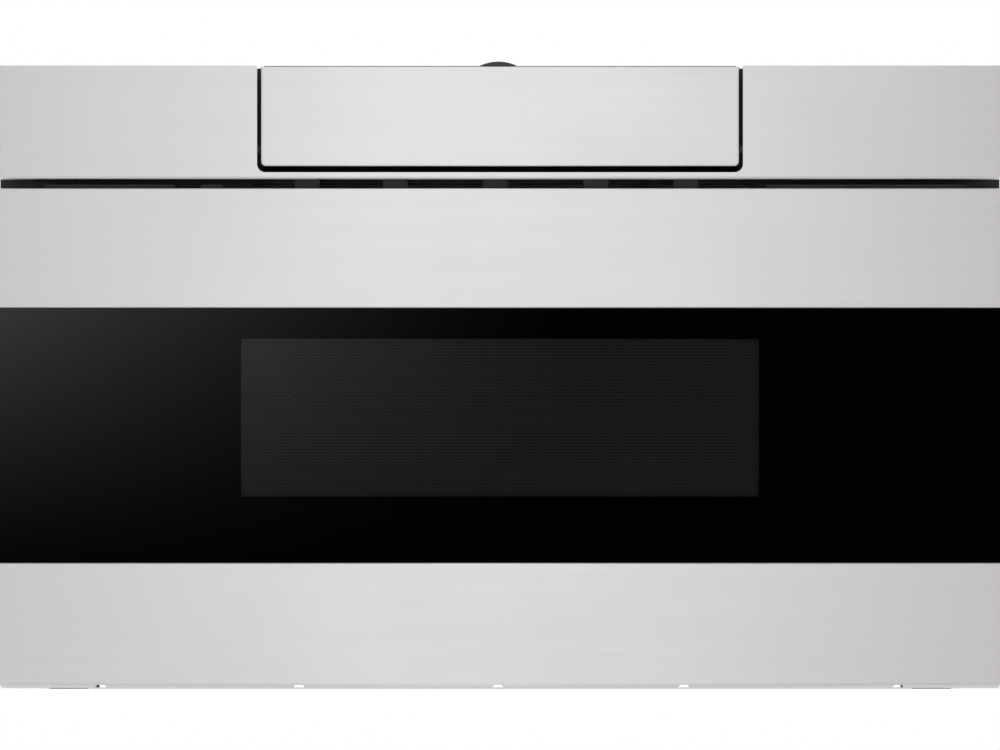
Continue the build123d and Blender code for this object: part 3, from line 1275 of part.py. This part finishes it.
# One pitched vane, wider at its tip, with the fan's axis along Z
with BuildPart() as fan_vane:
    with BuildSketch(Plane(origin=(0, 0, 0), x_dir=(1, 0, 0), z_dir=(0, sin(VANE_PITCH), cos(VANE_PITCH)))):
        with BuildLine():
            root, tip = FAN_HUB_R - 2, FAN_R + 2
            Polyline(
                (root, -VANE_ROOT / 2),
                (tip, -VANE_TIP / 2),
                (tip, VANE_TIP / 2),
                (root, VANE_ROOT / 2),
                close=True,
            )
        make_face()
    extrude(amount=VANE_T / 2, both=True)
    Cylinder(FAN_R, 4 * FAN_D, mode=Mode.INTERSECT)

with BuildPart() as fan_blade:
    with BuildSketch(Plane.XY.offset(2)):
        Circle(FAN_HUB_R)
    extrude(amount=FAN_D - 2)
    chamfer(fan_blade.faces().sort_by(Axis.Z)[0].edges(), 2)
    with BuildSketch(Plane.XY.offset(2)):
        Circle(FAN_SHAFT_R)
    extrude(amount=FAN_D + 24)
    for n in range(FAN_BLADES):
        add(fan_vane.part.moved(Location((0, 0, FAN_D / 2 + 1), (0, 0, 360 * n / FAN_BLADES))))
save(fan_blade.part.moved(Location((FAN_X, FAN_Y, FAN_Z), (-90, 0, 0))), "fan_blade")

# ---- Electrical pieces ---------------------------------------------------------------------------

with BuildPart() as power_board:
    board_z = CAVITY_TOP + BOARD_FEET
    with BuildSketch(Plane.XY.offset(CAVITY_TOP)):
        with Locations(BOARD_AT):
            with GridLocations(BOARD_W - 12, BOARD_D - 12, 2, 2):
                Rectangle(6, 6)
    extrude(amount=BOARD_FEET)
    with BuildSketch(Plane.XY.offset(board_z)):
        with Locations(BOARD_AT):
            Rectangle(BOARD_W, BOARD_D)
    extrude(amount=BOARD_T)
    # transformer, relays and capacitors
    for places, size, height in (
        (((-30, 20),), (38, 34), 30),
        (((28, 38), (28, 14), (28, -10)), (28, 16), 18),
        (((-36, -30), (-12, -34)), (8,), 24),
    ):
        with BuildSketch(Plane.XY.offset(board_z + BOARD_T)):
            with Locations(BOARD_AT):
                with Locations(*places):
                    Rectangle(*size) if len(size) == 2 else Circle(*size)
        extrude(amount=height)
save(power_board.part, "power_board")

with BuildPart() as noise_filter:
    with BuildSketch(Plane.XY.offset(PAN_Z)):
        with Locations(FILTER_AT):
            Rectangle(46, 70)
    extrude(amount=10)
    with BuildSketch(Plane.XY.offset(PAN_Z + 10)):
        with Locations(FILTER_AT):
            with Locations((0, 18)):
                Rectangle(32, 26)
            with Locations((-6, -16)):
                Rectangle(22, 26)
    extrude(amount=24)
    fillet(noise_filter.faces().sort_by(Axis.Z)[-1].edges(), 2)
save(noise_filter.part, "noise_filter")

with BuildPart() as oven_lamp:
    with BuildSketch(Plane.XY.offset(CAVITY_TOP)):
        with Locations((LAMP_X, LAMP_Y)):
            Rectangle(LAMP_W, LAMP_D)
    extrude(amount=LAMP_H)
    with BuildSketch(Plane.XY.offset(CAVITY_TOP)):
        with Locations((LAMP_X, LAMP_Y)):
            Circle(LAMP_HOLE_R - 0.3)
    extrude(amount=-CAVITY_T - 1)
save(oven_lamp.part, "oven_lamp")

with BuildPart() as thermal_cutouts:
    with BuildSketch(Plane.XY.offset(CAVITY_TOP)):
        with Locations(*CUTOUT_AT):
            Rectangle(*CUTOUT_PLATE)
    extrude(amount=1)
    with BuildSketch(Plane.XY.offset(CAVITY_TOP)):
        with Locations(*CUTOUT_AT):
            Circle(CUTOUT_R)
    extrude(amount=CUTOUT_H)
save(thermal_cutouts.part, "thermal_cutouts")

with BuildPart() as rail_brackets:
    bracket_low = RAIL_OPENING_X + RAIL_DEPTHS[0]
    for side in (-1, 1):
        with BuildSketch(Plane.YZ.offset(side * bracket_low)):
            with Locations(*[(y, RAIL_Z) for y in BRACKET_YS]):
                Rectangle(BRACKET_D, BRACKET_H)
                Rectangle(BRACKET_D - 16, BRACKET_H - 16, mode=Mode.SUBTRACT)
        extrude(amount=side * (CHASSIS_W / 2 - PLATE - bracket_low))
save(rail_brackets.part, "rail_brackets")

# Right-hand switch holder behind the mounting flange, with a channel for the hook
with BuildPart() as switch_holder:
    box(
        (HOOK_X - 10, CHASSIS_Y, HOOK_Z - 26),
        (HOOK_X + 12, CHASSIS_Y + HOOK_L + 10, HOOK_Z + 28),
    )
    box(
        (HOOK_X - 4, CHASSIS_Y, HOOK_Z - 9),
        (HOOK_X + 4, CHASSIS_Y + HOOK_L + 4, HOOK_Z + 12),
        Mode.SUBTRACT,
    )
    with BuildSketch(Plane.YZ.offset(HOOK_X + 12)):
        with Locations(*[(CHASSIS_Y + HOOK_L / 2 + 6, HOOK_Z + step) for step in (14, -12)]):
            Rectangle(28, 16)
    extrude(amount=8)
with BuildPart() as interlock_switches:
    add(switch_holder.part)
    mirror(switch_holder.part, about=Plane.YZ)
save(interlock_switches.part, "interlock_switches")
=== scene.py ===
import json
from math import atan, pi

import bmesh
import bpy
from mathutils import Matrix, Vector


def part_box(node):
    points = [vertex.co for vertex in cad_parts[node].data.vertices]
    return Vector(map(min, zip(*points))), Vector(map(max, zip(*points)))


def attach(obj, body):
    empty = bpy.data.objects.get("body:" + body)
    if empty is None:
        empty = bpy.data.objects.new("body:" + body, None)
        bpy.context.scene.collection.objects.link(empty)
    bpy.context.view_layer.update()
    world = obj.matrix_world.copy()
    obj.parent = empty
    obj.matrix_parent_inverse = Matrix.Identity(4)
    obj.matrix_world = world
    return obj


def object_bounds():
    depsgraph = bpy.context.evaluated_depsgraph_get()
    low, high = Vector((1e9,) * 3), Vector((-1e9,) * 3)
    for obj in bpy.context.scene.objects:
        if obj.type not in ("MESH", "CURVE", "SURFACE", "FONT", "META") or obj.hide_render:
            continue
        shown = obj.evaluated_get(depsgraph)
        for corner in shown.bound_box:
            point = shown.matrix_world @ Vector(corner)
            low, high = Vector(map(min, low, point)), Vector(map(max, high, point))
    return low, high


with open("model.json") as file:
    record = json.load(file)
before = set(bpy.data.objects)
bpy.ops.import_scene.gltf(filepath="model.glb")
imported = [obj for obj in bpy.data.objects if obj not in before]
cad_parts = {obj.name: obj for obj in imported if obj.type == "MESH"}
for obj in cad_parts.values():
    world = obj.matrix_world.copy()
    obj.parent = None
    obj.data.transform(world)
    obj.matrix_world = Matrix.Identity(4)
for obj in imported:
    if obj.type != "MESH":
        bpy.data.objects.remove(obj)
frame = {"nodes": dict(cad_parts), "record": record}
CAD_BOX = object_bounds()
GLASS_LOW, GLASS_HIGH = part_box("front_glass")
WINDOW_LOW, WINDOW_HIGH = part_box("window_screen")
TOUCH_LOW, TOUCH_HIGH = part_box("touch_panel")
SQUARE = ((-1, -1), (1, -1), (1, 1), (-1, 1))


# ---- Node graphs -----------------------------------------------------------------------------


class Graph:
    """A material's node tree, built with short calls that return sockets."""

    def __init__(self, name):
        self.material = bpy.data.materials.new(name)
        self.material.use_nodes = True
        self.tree = self.material.node_tree
        self.tree.nodes.clear()
        self.out = self.tree.nodes.new("ShaderNodeOutputMaterial")
        self.place = self.node("ShaderNodeTexCoord").outputs["Object"]

    def node(self, kind, **settings):
        made = self.tree.nodes.new(kind)
        for key, value in settings.items():
            setattr(made, key, value)
        return made

    def put(self, socket, value):
        """Sets a socket to what another socket gives, or to a constant."""
        if isinstance(value, bpy.types.NodeSocket):
            self.tree.links.new(value, socket)
        else:
            socket.default_value = value

    def paint(self, socket, colour):
        """Sets a colour socket to what another socket gives, or to red, green and blue."""
        self.put(socket, colour if isinstance(colour, bpy.types.NodeSocket) else (*colour, 1))

    def math(self, operation, a, b=0.0):
        made = self.node("ShaderNodeMath", operation=operation)
        self.put(made.inputs[0], a)
        self.put(made.inputs[1], b)
        return made.outputs[0]

    def axes(self):
        """The object's coordinates, as three sockets."""
        made = self.node("ShaderNodeSeparateXYZ")
        self.put(made.inputs[0], self.place)
        return made.outputs

    def stretched(self, scale):
        """The object's coordinates multiplied by a scale on each axis."""
        made = self.node("ShaderNodeMapping")
        self.put(made.inputs["Vector"], self.place)
        made.inputs["Scale"].default_value = scale
        return made.outputs[0]

    def noise(self, scale, detail, stretch=None, roughness=0.55):
        made = self.node("ShaderNodeTexNoise")
        self.put(made.inputs["Vector"], self.stretched(stretch) if stretch else self.place)
        made.inputs["Scale"].default_value = scale
        made.inputs["Detail"].default_value = detail
        made.inputs["Roughness"].default_value = roughness
        return made.outputs["Fac"]

    def voronoi(self, scale, feature="F1", output="Distance"):
        made = self.node("ShaderNodeTexVoronoi", feature=feature)
        self.put(made.inputs["Vector"], self.place)
        made.inputs["Scale"].default_value = scale
        return made.outputs[output]

    def span(self, value, low, high, to_low=0.0, to_high=1.0):
        """Value mapped from one range to another, and held at its ends."""
        made = self.node("ShaderNodeMapRange")
        ends = {"From Min": low, "From Max": high, "To Min": to_low, "To Max": to_high}
        self.put(made.inputs["Value"], value)
        for key, number in ends.items():
            self.put(made.inputs[key], number)
        return made.outputs[0]

    def ramp(self, value, *stops):
        """A colour ramp through (position, colour) stops."""
        made = self.node("ShaderNodeValToRGB")
        self.put(made.inputs[0], value)
        ramp = made.color_ramp
        while len(ramp.elements) < len(stops):
            ramp.elements.new(0.5)
        for element, (position, colour) in zip(ramp.elements, stops):
            element.position = position
            element.color = (*colour, 1)
        return made.outputs[0]

    def mix(self, factor, a, b):
        """Colour a where the factor is 0, and colour b where it is 1."""
        made = self.node("ShaderNodeMix", data_type="RGBA")
        self.put(made.inputs[0], factor)
        self.paint(made.inputs[6], a)
        self.paint(made.inputs[7], b)
        return made.outputs[2]

    def bump(self, height, strength, distance):
        made = self.node("ShaderNodeBump")
        self.put(made.inputs["Height"], height)
        made.inputs["Strength"].default_value = strength
        made.inputs["Distance"].default_value = distance
        return made.outputs[0]

    def surface(self, colour, roughness, normal=None, **others):
        """The finished material. Other sockets are set by their names."""
        shader = self.node("ShaderNodeBsdfPrincipled")
        self.paint(shader.inputs["Base Color"], colour)
        self.put(shader.inputs["Roughness"], roughness)
        if normal:
            self.put(shader.inputs["Normal"], normal)
        for key, value in others.items():
            self.put(shader.inputs[key.replace("_", " ")], value)
        return self.finished(shader)

    def emission(self, strength):
        """The finished material of a thing that shines white."""
        shader = self.node("ShaderNodeEmission")
        self.put(shader.inputs["Strength"], strength)
        return self.finished(shader)

    def finished(self, shader):
        self.tree.links.new(shader.outputs[0], self.out.inputs["Surface"])
        return self.material


# ---- Materials -------------------------------------------------------------------------------


def brushed_steel():
    """Stainless sheet with a fine grain along X."""
    g = Graph("brushed_steel")
    grain = g.noise(1.0, 4.0, (6.0, 1400.0, 1400.0), 0.6)
    streaks = g.noise(1.0, 2.0, (2.2, 260.0, 260.0))
    patches = g.noise(7.0, 2.0)
    both = g.math("ADD", g.math("MULTIPLY", grain, 0.6), g.math("MULTIPLY", streaks, 0.4))
    colour = g.ramp(both, (0.30, (0.744, 0.728, 0.736)), (0.70, (0.786, 0.769, 0.777)))
    polish = g.span(both, 0.3, 0.7, 0.40, 0.46)
    rough = g.math("ADD", polish, g.span(patches, 0.3, 0.7, -0.012, 0.012))
    relief = g.bump(both, 0.045, 0.00004)
    return g.surface(
        colour, rough, relief, Metallic=1.0, Anisotropic=0.95, Anisotropic_Rotation=0.25
    )


def sheet_metal(name, low, high, spangle, rough=(0.38, 0.52)):
    """Zinc coated sheet: spangle is how many crystals lie along a metre."""
    g = Graph(name)
    cells = g.voronoi(spangle, "F1", "Color")
    value = g.node("ShaderNodeSeparateColor")
    g.put(value.inputs[0], cells)
    cloud = g.noise(14.0, 4.0)
    crystals = g.math("MULTIPLY", value.outputs[0], 0.45)
    tone = g.math("ADD", crystals, g.math("MULTIPLY", cloud, 0.55))
    colour = g.ramp(tone, (0.2, low), (0.8, high))
    relief = g.bump(g.noise(900.0, 2.0), 0.06, 0.0001)
    return g.surface(colour, g.span(tone, 0.2, 0.8, *rough), relief, Metallic=0.9)


def moulded(name, low, high, rough, grain, strength):
    """Plastic, rubber or paint: a fine grain and slow changes of tone."""
    g = Graph(name)
    cloud = g.noise(24.0, 3.0)
    fine = g.noise(grain, 2.0)
    colour = g.ramp(cloud, (0.3, low), (0.7, high))
    return g.surface(colour, g.span(fine, 0.3, 0.7, *rough), g.bump(fine, strength, 0.0001))


def laminations():
    """Varnished core sheets, a millimetre each, stacked along Z."""
    g = Graph("core_steel")
    z = g.axes()[2]
    line = g.math("PINGPONG", g.math("MULTIPLY", z, 2000.0), 1.0)
    cloud = g.noise(60.0, 3.0)
    steel = g.ramp(cloud, (0.3, (0.115, 0.09, 0.07)), (0.7, (0.19, 0.15, 0.12)))
    colour = g.mix(g.span(line, 0.1, 0.6), (0.035, 0.028, 0.022), steel)
    rough = g.span(cloud, 0.3, 0.7, 0.35, 0.5)
    return g.surface(colour, rough, g.bump(line, 0.25, 0.0001), Metallic=0.55)


def circuit_board():
    """Green board with pads and tracks, and pale tops on the components."""
    g = Graph("circuit_board")
    tracks = g.voronoi(260.0, "DISTANCE_TO_EDGE")
    pads = g.voronoi(420.0)
    board = g.mix(g.span(tracks, 0.02, 0.05), (0.05, 0.20, 0.09), (0.02, 0.10, 0.045))
    colour = g.mix(g.span(pads, 0.12, 0.16, 1.0, 0.0), board, (0.55, 0.53, 0.48))
    return g.surface(colour, g.span(pads, 0.1, 0.2, 0.3, 0.45), g.bump(pads, 0.15, 0.0002))


def wavy_glass(g, wave, colour, transmission):
    """Smooth glass whose faces bend a little with the wave."""
    relief = g.bump(wave, 0.02, 0.0002)
    return g.surface(colour, 0.0, relief, Transmission_Weight=transmission, IOR=1.5)


def clear_glass():
    """The inner window."""
    g = Graph("clear_glass")
    wave = g.noise(3.0, 1.0)
    colour = g.ramp(wave, (0.3, (0.93, 0.95, 0.95)), (0.7, (0.9486, 0.969, 0.969)))
    return wavy_glass(g, wave, colour, 1.0)


def printed_glass():
    """The front glass: clear in front of the window, and opaque black where it is printed."""
    g = Graph("black_glass")
    x, _, z = g.axes()
    inside = 1.0
    for value, start, end in ((x, WINDOW_LOW.x, WINDOW_HIGH.x), (z, WINDOW_LOW.z, WINDOW_HIGH.z)):
        near = g.math("ABSOLUTE", g.math("SUBTRACT", value, (start + end) / 2))
        inside = g.math("MULTIPLY", inside, g.math("LESS_THAN", near, (end - start) / 2))
    wave = g.noise(3.0, 1.0)
    black = g.ramp(wave, (0.3, (0.0006, 0.0006, 0.0008)), (0.7, (0.0010, 0.0010, 0.0012)))
    return wavy_glass(g, wave, g.mix(inside, black, (0.93, 0.94, 0.95)), inside)


def black_enamel():
    """The print fired on the back of the glass."""
    g = Graph("black_enamel")
    cloud = g.noise(30.0, 3.0)
    colour = g.ramp(cloud, (0.3, (0.0006, 0.0006, 0.0008)), (0.7, (0.0012, 0.0012, 0.0014)))
    return g.surface(colour, g.span(cloud, 0.3, 0.7, 0.25, 0.4), Specular_IOR_Level=0.1)


ROW_STEP = 0.8660254  # how far apart the rows of staggered holes lie, in pitches


def perforated(pitch, hole_r):
    """Black sheet with staggered round holes, pitch apart. The holes are not cut: they are painted
    near black, as painted shade for the dark inside seen through them.
    """
    g = Graph("dark_screen")
    x, _, z = g.axes()
    row_h = pitch * ROW_STEP
    distances = []
    for shift in (0.0, 0.5):
        u = g.math("FRACT", g.math("ADD", g.math("DIVIDE", x, pitch), shift))
        v = g.math("FRACT", g.math("ADD", g.math("DIVIDE", z, 2 * row_h), shift))
        du = g.math("MULTIPLY", g.math("SUBTRACT", u, 0.5), pitch)
        dv = g.math("MULTIPLY", g.math("SUBTRACT", v, 0.5), 2 * row_h)
        squares = g.math("ADD", g.math("MULTIPLY", du, du), g.math("MULTIPLY", dv, dv))
        distances.append(g.math("SQRT", squares))
    sheet = g.span(g.math("MINIMUM", *distances), hole_r * 0.85, hole_r * 1.15)
    cloud = g.noise(40.0, 3.0)
    paint = g.ramp(cloud, (0.3, (0.0088, 0.0088, 0.0100)), (0.7, (0.0108, 0.0108, 0.0120)))
    # painted shade: the holes get a near-black colour, darker than the paint, in place of the dark
    # inside seen through them
    colour = g.mix(sheet, (0.003, 0.003, 0.004), paint)
    rough = g.span(sheet, 0.0, 1.0, 0.9, 0.45)
    return g.surface(colour, rough, g.bump(sheet, 0.4, 0.0003), Specular_IOR_Level=0.3)


def ceramic():
    """Pale glazed ceramic with faint dark specks."""
    g = Graph("ceramic_tray")
    cloud = g.noise(18.0, 4.0)
    specks = g.voronoi(700.0)
    base = g.ramp(cloud, (0.3, (0.74, 0.73, 0.70)), (0.7, (0.80, 0.79, 0.765)))
    colour = g.mix(g.span(specks, 0.05, 0.12, 0.35, 0.0), base, (0.35, 0.33, 0.30))
    return g.surface(colour, g.span(cloud, 0.3, 0.7, 0.10, 0.16), g.bump(cloud, 0.1, 0.0003))


# For each: darkest and lightest colour, least and most roughness, grains per metre, their relief.
MOULDED = {
    "black_paint": ((0.030, 0.030, 0.030), (0.042, 0.042, 0.042), (0.38, 0.50), 700.0, 0.12),
    "black_plastic": ((0.036, 0.036, 0.037), (0.046, 0.046, 0.047), (0.45, 0.60), 1500.0, 0.12),
    "grey_plastic": ((0.20, 0.20, 0.21), (0.26, 0.26, 0.27), (0.45, 0.60), 1500.0, 0.12),
    "white_plastic": ((0.74, 0.74, 0.70), (0.82, 0.82, 0.785), (0.35, 0.50), 1500.0, 0.12),
    "grey_paint": ((0.36, 0.36, 0.37), (0.42, 0.42, 0.43), (0.28, 0.40), 900.0, 0.15),
    "rubber_feet": ((0.018, 0.018, 0.018), (0.028, 0.028, 0.028), (0.65, 0.80), 1100.0, 0.20),
}
GALVANISED = ((0.40, 0.41, 0.42), (0.53, 0.54, 0.55), 130.0)
ZINC = ((0.58, 0.58, 0.585), (0.70, 0.70, 0.705), 900.0, (0.28, 0.38))

MATERIALS = {
    "brushed_steel": brushed_steel(),
    "black_glass": printed_glass(),
    "clear_glass": clear_glass(),
    "dark_screen": perforated(pitch=0.0022, hole_r=0.00066),
    "galvanised_steel": sheet_metal("galvanised_steel", *GALVANISED),
    "zinc_steel": sheet_metal("zinc_steel", *ZINC),
    "core_steel": laminations(),
    "ceramic_tray": ceramic(),
    "circuit_board": circuit_board(),
    **{name: moulded(name, *look) for name, look in MOULDED.items()},
}

for part in frame["record"]["subparts"]:
    node = frame["nodes"][part["node"]]
    node.material_slots[0].material = MATERIALS[part["material_slot"]]


# ---- Pieces ----------------------------------------------------------------------------------


def mesh_piece(name, build, material, body):
    """A piece that build(bmesh) makes in place, riding on a body."""
    mesh = bpy.data.meshes.new(name)
    bm = bmesh.new()
    build(bm)
    bmesh.ops.recalc_face_normals(bm, faces=bm.faces)
    bm.to_mesh(mesh)
    bm.free()
    mesh.materials.append(material)
    piece = bpy.data.objects.new(name, mesh)
    bpy.context.collection.objects.link(piece)
    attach(piece, body)


PRINT_BITE = 0.00004  # how far the print reaches into the glass
PRINT_T = 0.00014
PRINT_INSET = 0.0006  # from the glass's edges


def glass_print(bm):
    """The black print on the back of the front glass: an upright plate, open at the window."""
    low_x, low_z = GLASS_LOW.x + PRINT_INSET, GLASS_LOW.z + PRINT_INSET
    high_x, high_z = GLASS_HIGH.x - PRINT_INSET, GLASS_HIGH.z - PRINT_INSET
    outer = (low_x, low_z, high_x, high_z)
    inner = (WINDOW_LOW.x, WINDOW_LOW.z, WINDOW_HIGH.x, WINDOW_HIGH.z)
    front = GLASS_HIGH.y - PRINT_BITE
    rings = []
    for y in (front, front + PRINT_T):
        for x0, z0, x1, z1 in (outer, inner):
            corners = ((x0, y, z0), (x1, y, z0), (x1, y, z1), (x0, y, z1))
            rings.append([bm.verts.new(corner) for corner in corners])
    for a, b in ((0, 1), (2, 3), (0, 2), (1, 3)):
        for i in range(4):
            j = (i + 1) % 4
            bm.faces.new((rings[a][i], rings[a][j], rings[b][j], rings[b][i]))


mesh_piece("glass_print", glass_print, black_enamel(), "drawer")


# The print on the touch panel. Places along X are from the middle of the drawer.
PRINT_H = 0.00006
STROKE = 0.0006
DIGIT_W = 0.0034
DIGIT_H = 0.0060
KEYS_IN_ROW = 5
KEY_X, KEY_PITCH = 0.012, 0.015
CLOCK_X0, CLOCK_X1 = -0.036, -0.010
CLOCK_INSET, CLOCK_PITCH = 0.0038, 0.0052  # first digit from the frame, digit from digit
CLOCK_GAP = 0.0016  # between hours and minutes
SIGN_X, SIGN_HALF = 0.105, 0.003
DASH_X, DASH_PITCH, DASH_HALF = -0.115, 0.016, 0.004
DIGITS = {  # lit bars: top, upper right, lower right, bottom, lower left, upper left, middle
    0: (1, 1, 1, 1, 1, 1, 0),
    1: (0, 1, 1, 0, 0, 0, 0),
    2: (1, 1, 0, 1, 1, 0, 1),
    3: (1, 1, 1, 1, 0, 0, 1),
    4: (0, 1, 1, 0, 0, 1, 1),
    5: (1, 0, 1, 1, 0, 1, 1),
    6: (1, 0, 1, 1, 1, 1, 1),
    7: (1, 1, 1, 0, 0, 0, 0),
    8: (1, 1, 1, 1, 1, 1, 1),
    9: (1, 1, 1, 1, 0, 1, 1),
}


def raised(bm, outline):
    """A flat shape printed on the touch panel, from its corners in X and Y."""
    heights = (TOUCH_HIGH.z, TOUCH_HIGH.z + PRINT_H)
    low, high = [[bm.verts.new((x, y, z)) for x, y in outline] for z in heights]
    bm.faces.new(low)
    bm.faces.new(high)
    for i in range(len(outline)):
        j = (i + 1) % len(outline)
        bm.faces.new((low[i], low[j], high[j], high[i]))


def bar(bm, x0, y0, x1, y1):
    """A printed line between two points, lower before higher, along X or Y."""
    x0, y0, x1, y1 = x0 - STROKE / 2, y0 - STROKE / 2, x1 + STROKE / 2, y1 + STROKE / 2
    raised(bm, ((x0, y0), (x1, y0), (x1, y1), (x0, y1)))


def digit(bm, number, x, y):
    """A number made of up to seven bars about a point."""
    w, h, gap = DIGIT_W / 2, DIGIT_H / 2, STROKE
    lines = (
        (x - w + gap, y + h, x + w - gap, y + h),
        (x + w, y + gap, x + w, y + h - gap),
        (x + w, y - h + gap, x + w, y - gap),
        (x - w + gap, y - h, x + w - gap, y - h),
        (x - w, y - h + gap, x - w, y - gap),
        (x - w, y + gap, x - w, y + h - gap),
        (x - w + gap, y, x + w - gap, y),
    )
    for lit, line in zip(DIGITS[number], lines):
        if lit:
            bar(bm, *line)


def touch_print(bm):
    """Two rows of numbered keys, a clock, a start and a stop sign, and lines for the other keys."""
    middle = (TOUCH_LOW.y + TOUCH_HIGH.y) / 2
    row = (TOUCH_HIGH.y - TOUCH_LOW.y) / 4
    low, high = middle - row, middle + row
    for number in range(10):
        place = (number - 1) % 10
        x = KEY_X + (place % KEYS_IN_ROW) * KEY_PITCH
        digit(bm, number, x, high if place < KEYS_IN_ROW else low)
    for y in (low, high):
        bar(bm, CLOCK_X0, y, CLOCK_X1, y)
    for x in (CLOCK_X0, CLOCK_X1):
        bar(bm, x, low, x, high)
    for n, number in enumerate((1, 2, 0, 0)):
        x = CLOCK_X0 + CLOCK_INSET + n * CLOCK_PITCH + (CLOCK_GAP if n > 1 else 0)
        digit(bm, number, x, middle)
    start = ((-1, -1), (1, 0), (-1, 1))
    for corners, y in ((start, high), (SQUARE, low)):
        raised(bm, [(SIGN_X + right * SIGN_HALF, y + up * SIGN_HALF) for right, up in corners])
    for n in range(KEYS_IN_ROW):
        x = DASH_X + n * DASH_PITCH
        for y in (low, high):
            bar(bm, x - DASH_HALF, y, x + DASH_HALF, y)


mesh_piece("touch_print", touch_print, MATERIALS["white_plastic"], "flap")


# ---- Stage: floor, light and camera ---------------------------------------------------------

FRONT_Y = CAD_BOX[0][1]


def plane(name, points, material):
    """A flat face of the stage, through its corners."""
    mesh = bpy.data.meshes.new(name)
    mesh.from_pydata(points, [], [tuple(range(len(points)))])
    mesh.materials.append(material)
    made = bpy.data.objects.new(name, mesh)
    bpy.context.collection.objects.link(made)
    return made


def looked_at(tree):
    """A socket that is 1 for what the camera sees, straight, mirrored or through glass."""
    rays = tree.nodes.new("ShaderNodeLightPath").outputs
    seen = rays["Is Camera Ray"]
    for kind in ("Is Glossy Ray", "Is Transmission Ray"):
        either = tree.nodes.new("ShaderNodeMath")
        either.operation = "MAXIMUM"
        tree.links.new(seen, either.inputs[0])
        tree.links.new(rays[kind], either.inputs[1])
        seen = either.outputs[0]
    return seen


FLOOR_HALF = 6
FLOOR_GLOW = 0.42  # only where it is looked at, so that it lights nothing


def floor_paper():
    """Pale paper that is seen as white."""
    g = Graph("floor_paper")
    fibre = g.noise(350.0, 3.0)
    colour = g.ramp(fibre, (0.3, (0.95, 0.95, 0.95)), (0.7, (0.97, 0.97, 0.97)))
    glow = g.math("MULTIPLY", looked_at(g.tree), FLOOR_GLOW)
    white = (1, 1, 1, 1)
    return g.surface(
        colour, 0.9, Specular_IOR_Level=0.1, Emission_Color=white, Emission_Strength=glow
    )


plane("floor", [(x * FLOOR_HALF, y * FLOOR_HALF, 0) for x, y in SQUARE], floor_paper())


# What stands opposite the front, out of the camera's sight, and is mirrored in it. It is dark,
# with a soft light that the glass shows at its upper left, and a bank of light higher up that
# gives the steel its sheen. Each pair says where a light begins and where it is full.
CARD_Y = FRONT_Y - 2.0
CARD_HALF = 1.6
CARD_TOP = 1.9
SOFT = 1.2
SOFT_X = (0.08, -0.42)
SOFT_Z = (0.04, 0.25)
SOFT_TOP = (0.33, 0.27)
BANK = (0.0, 0.28, 2.72, 0.04, 0.0)  # strength at even steps from left to right
BANK_X = (-0.8, 0.8)  # its left and right end
BANK_Z = (0.28, 0.36)


def front_card():
    """The light on the card."""
    g = Graph("front_card")
    x, _, z = g.axes()
    soft = g.math("MULTIPLY", g.span(x, *SOFT_X), g.span(z, *SOFT_Z))
    soft = g.math("MULTIPLY", g.math("POWER", soft, 2.0), g.span(z, *SOFT_TOP))
    stops = [(n / (len(BANK) - 1), [level] * 3) for n, level in enumerate(BANK)]
    bank = g.math("MULTIPLY", g.span(z, *BANK_Z), g.ramp(g.span(x, *BANK_X), *stops))
    return g.emission(g.math("ADD", g.math("MULTIPLY", soft, SOFT), bank))


card_corners = [
    (-CARD_HALF, CARD_Y, 0),
    (CARD_HALF, CARD_Y, 0),
    (CARD_HALF, CARD_Y, CARD_TOP),
    (-CARD_HALF, CARD_Y, CARD_TOP),
]
card = plane("front_card", card_corners, front_card())
card.visible_camera = False
card.visible_diffuse = False  # it is only mirrored, and lights nothing matt


LAMP_PLACE = (0.0, 0.2, 2.4)
LAMP_TARGET = (0, 0, 0.2)
LAMP_SIZE = (2.4, 2.0)
LAMP_WATTS = 6

lamp = bpy.data.lights.new("overhead", "AREA")
lamp.shape = "RECTANGLE"
lamp.size, lamp.size_y = LAMP_SIZE
lamp.energy = LAMP_WATTS
overhead = bpy.data.objects.new("overhead", lamp)
bpy.context.collection.objects.link(overhead)
overhead.location = LAMP_PLACE
aim = Vector(LAMP_TARGET) - Vector(LAMP_PLACE)
overhead.rotation_euler = aim.to_track_quat("-Z", "Y").to_euler()


WORLD_SEEN = 1.0  # the white background, where it is looked at
WORLD_LIGHT = 0.64  # what it sheds on the object

world = bpy.data.worlds.new("studio")
bpy.context.scene.world = world
world.use_nodes = True
tree = world.node_tree
background = tree.nodes["Background"]
background.inputs["Color"].default_value = (1, 1, 1, 1)
level = tree.nodes.new("ShaderNodeMapRange")
level.inputs["To Min"].default_value = WORLD_LIGHT
level.inputs["To Max"].default_value = WORLD_SEEN
tree.links.new(looked_at(tree), level.inputs["Value"])
tree.links.new(level.outputs[0], background.inputs["Strength"])


DISTANCE = 18.0  # so far away that the front is seen almost without perspective
SPAN = 0.605  # the width, on the front, that fills the picture
VIEW_Z = 0.1899  # the height on the front that is the picture's middle
CAMERA_Z = 0.03  # low, so that the floor is seen almost edge on
SENSOR_W = 36
CLIP_END = 60

camera_data = bpy.data.cameras.new("camera")
camera = bpy.data.objects.new("camera", camera_data)
bpy.context.collection.objects.link(camera)
camera.location = (0, FRONT_Y - DISTANCE, CAMERA_Z)
camera.rotation_euler = (pi / 2 + atan((VIEW_Z - CAMERA_Z) / DISTANCE), 0, 0)
camera_data.sensor_width = SENSOR_W
camera_data.lens = SENSOR_W * DISTANCE / SPAN
camera_data.clip_end = CLIP_END
bpy.context.scene.camera = camera
bpy.context.scene.view_settings.view_transform = "Standard"
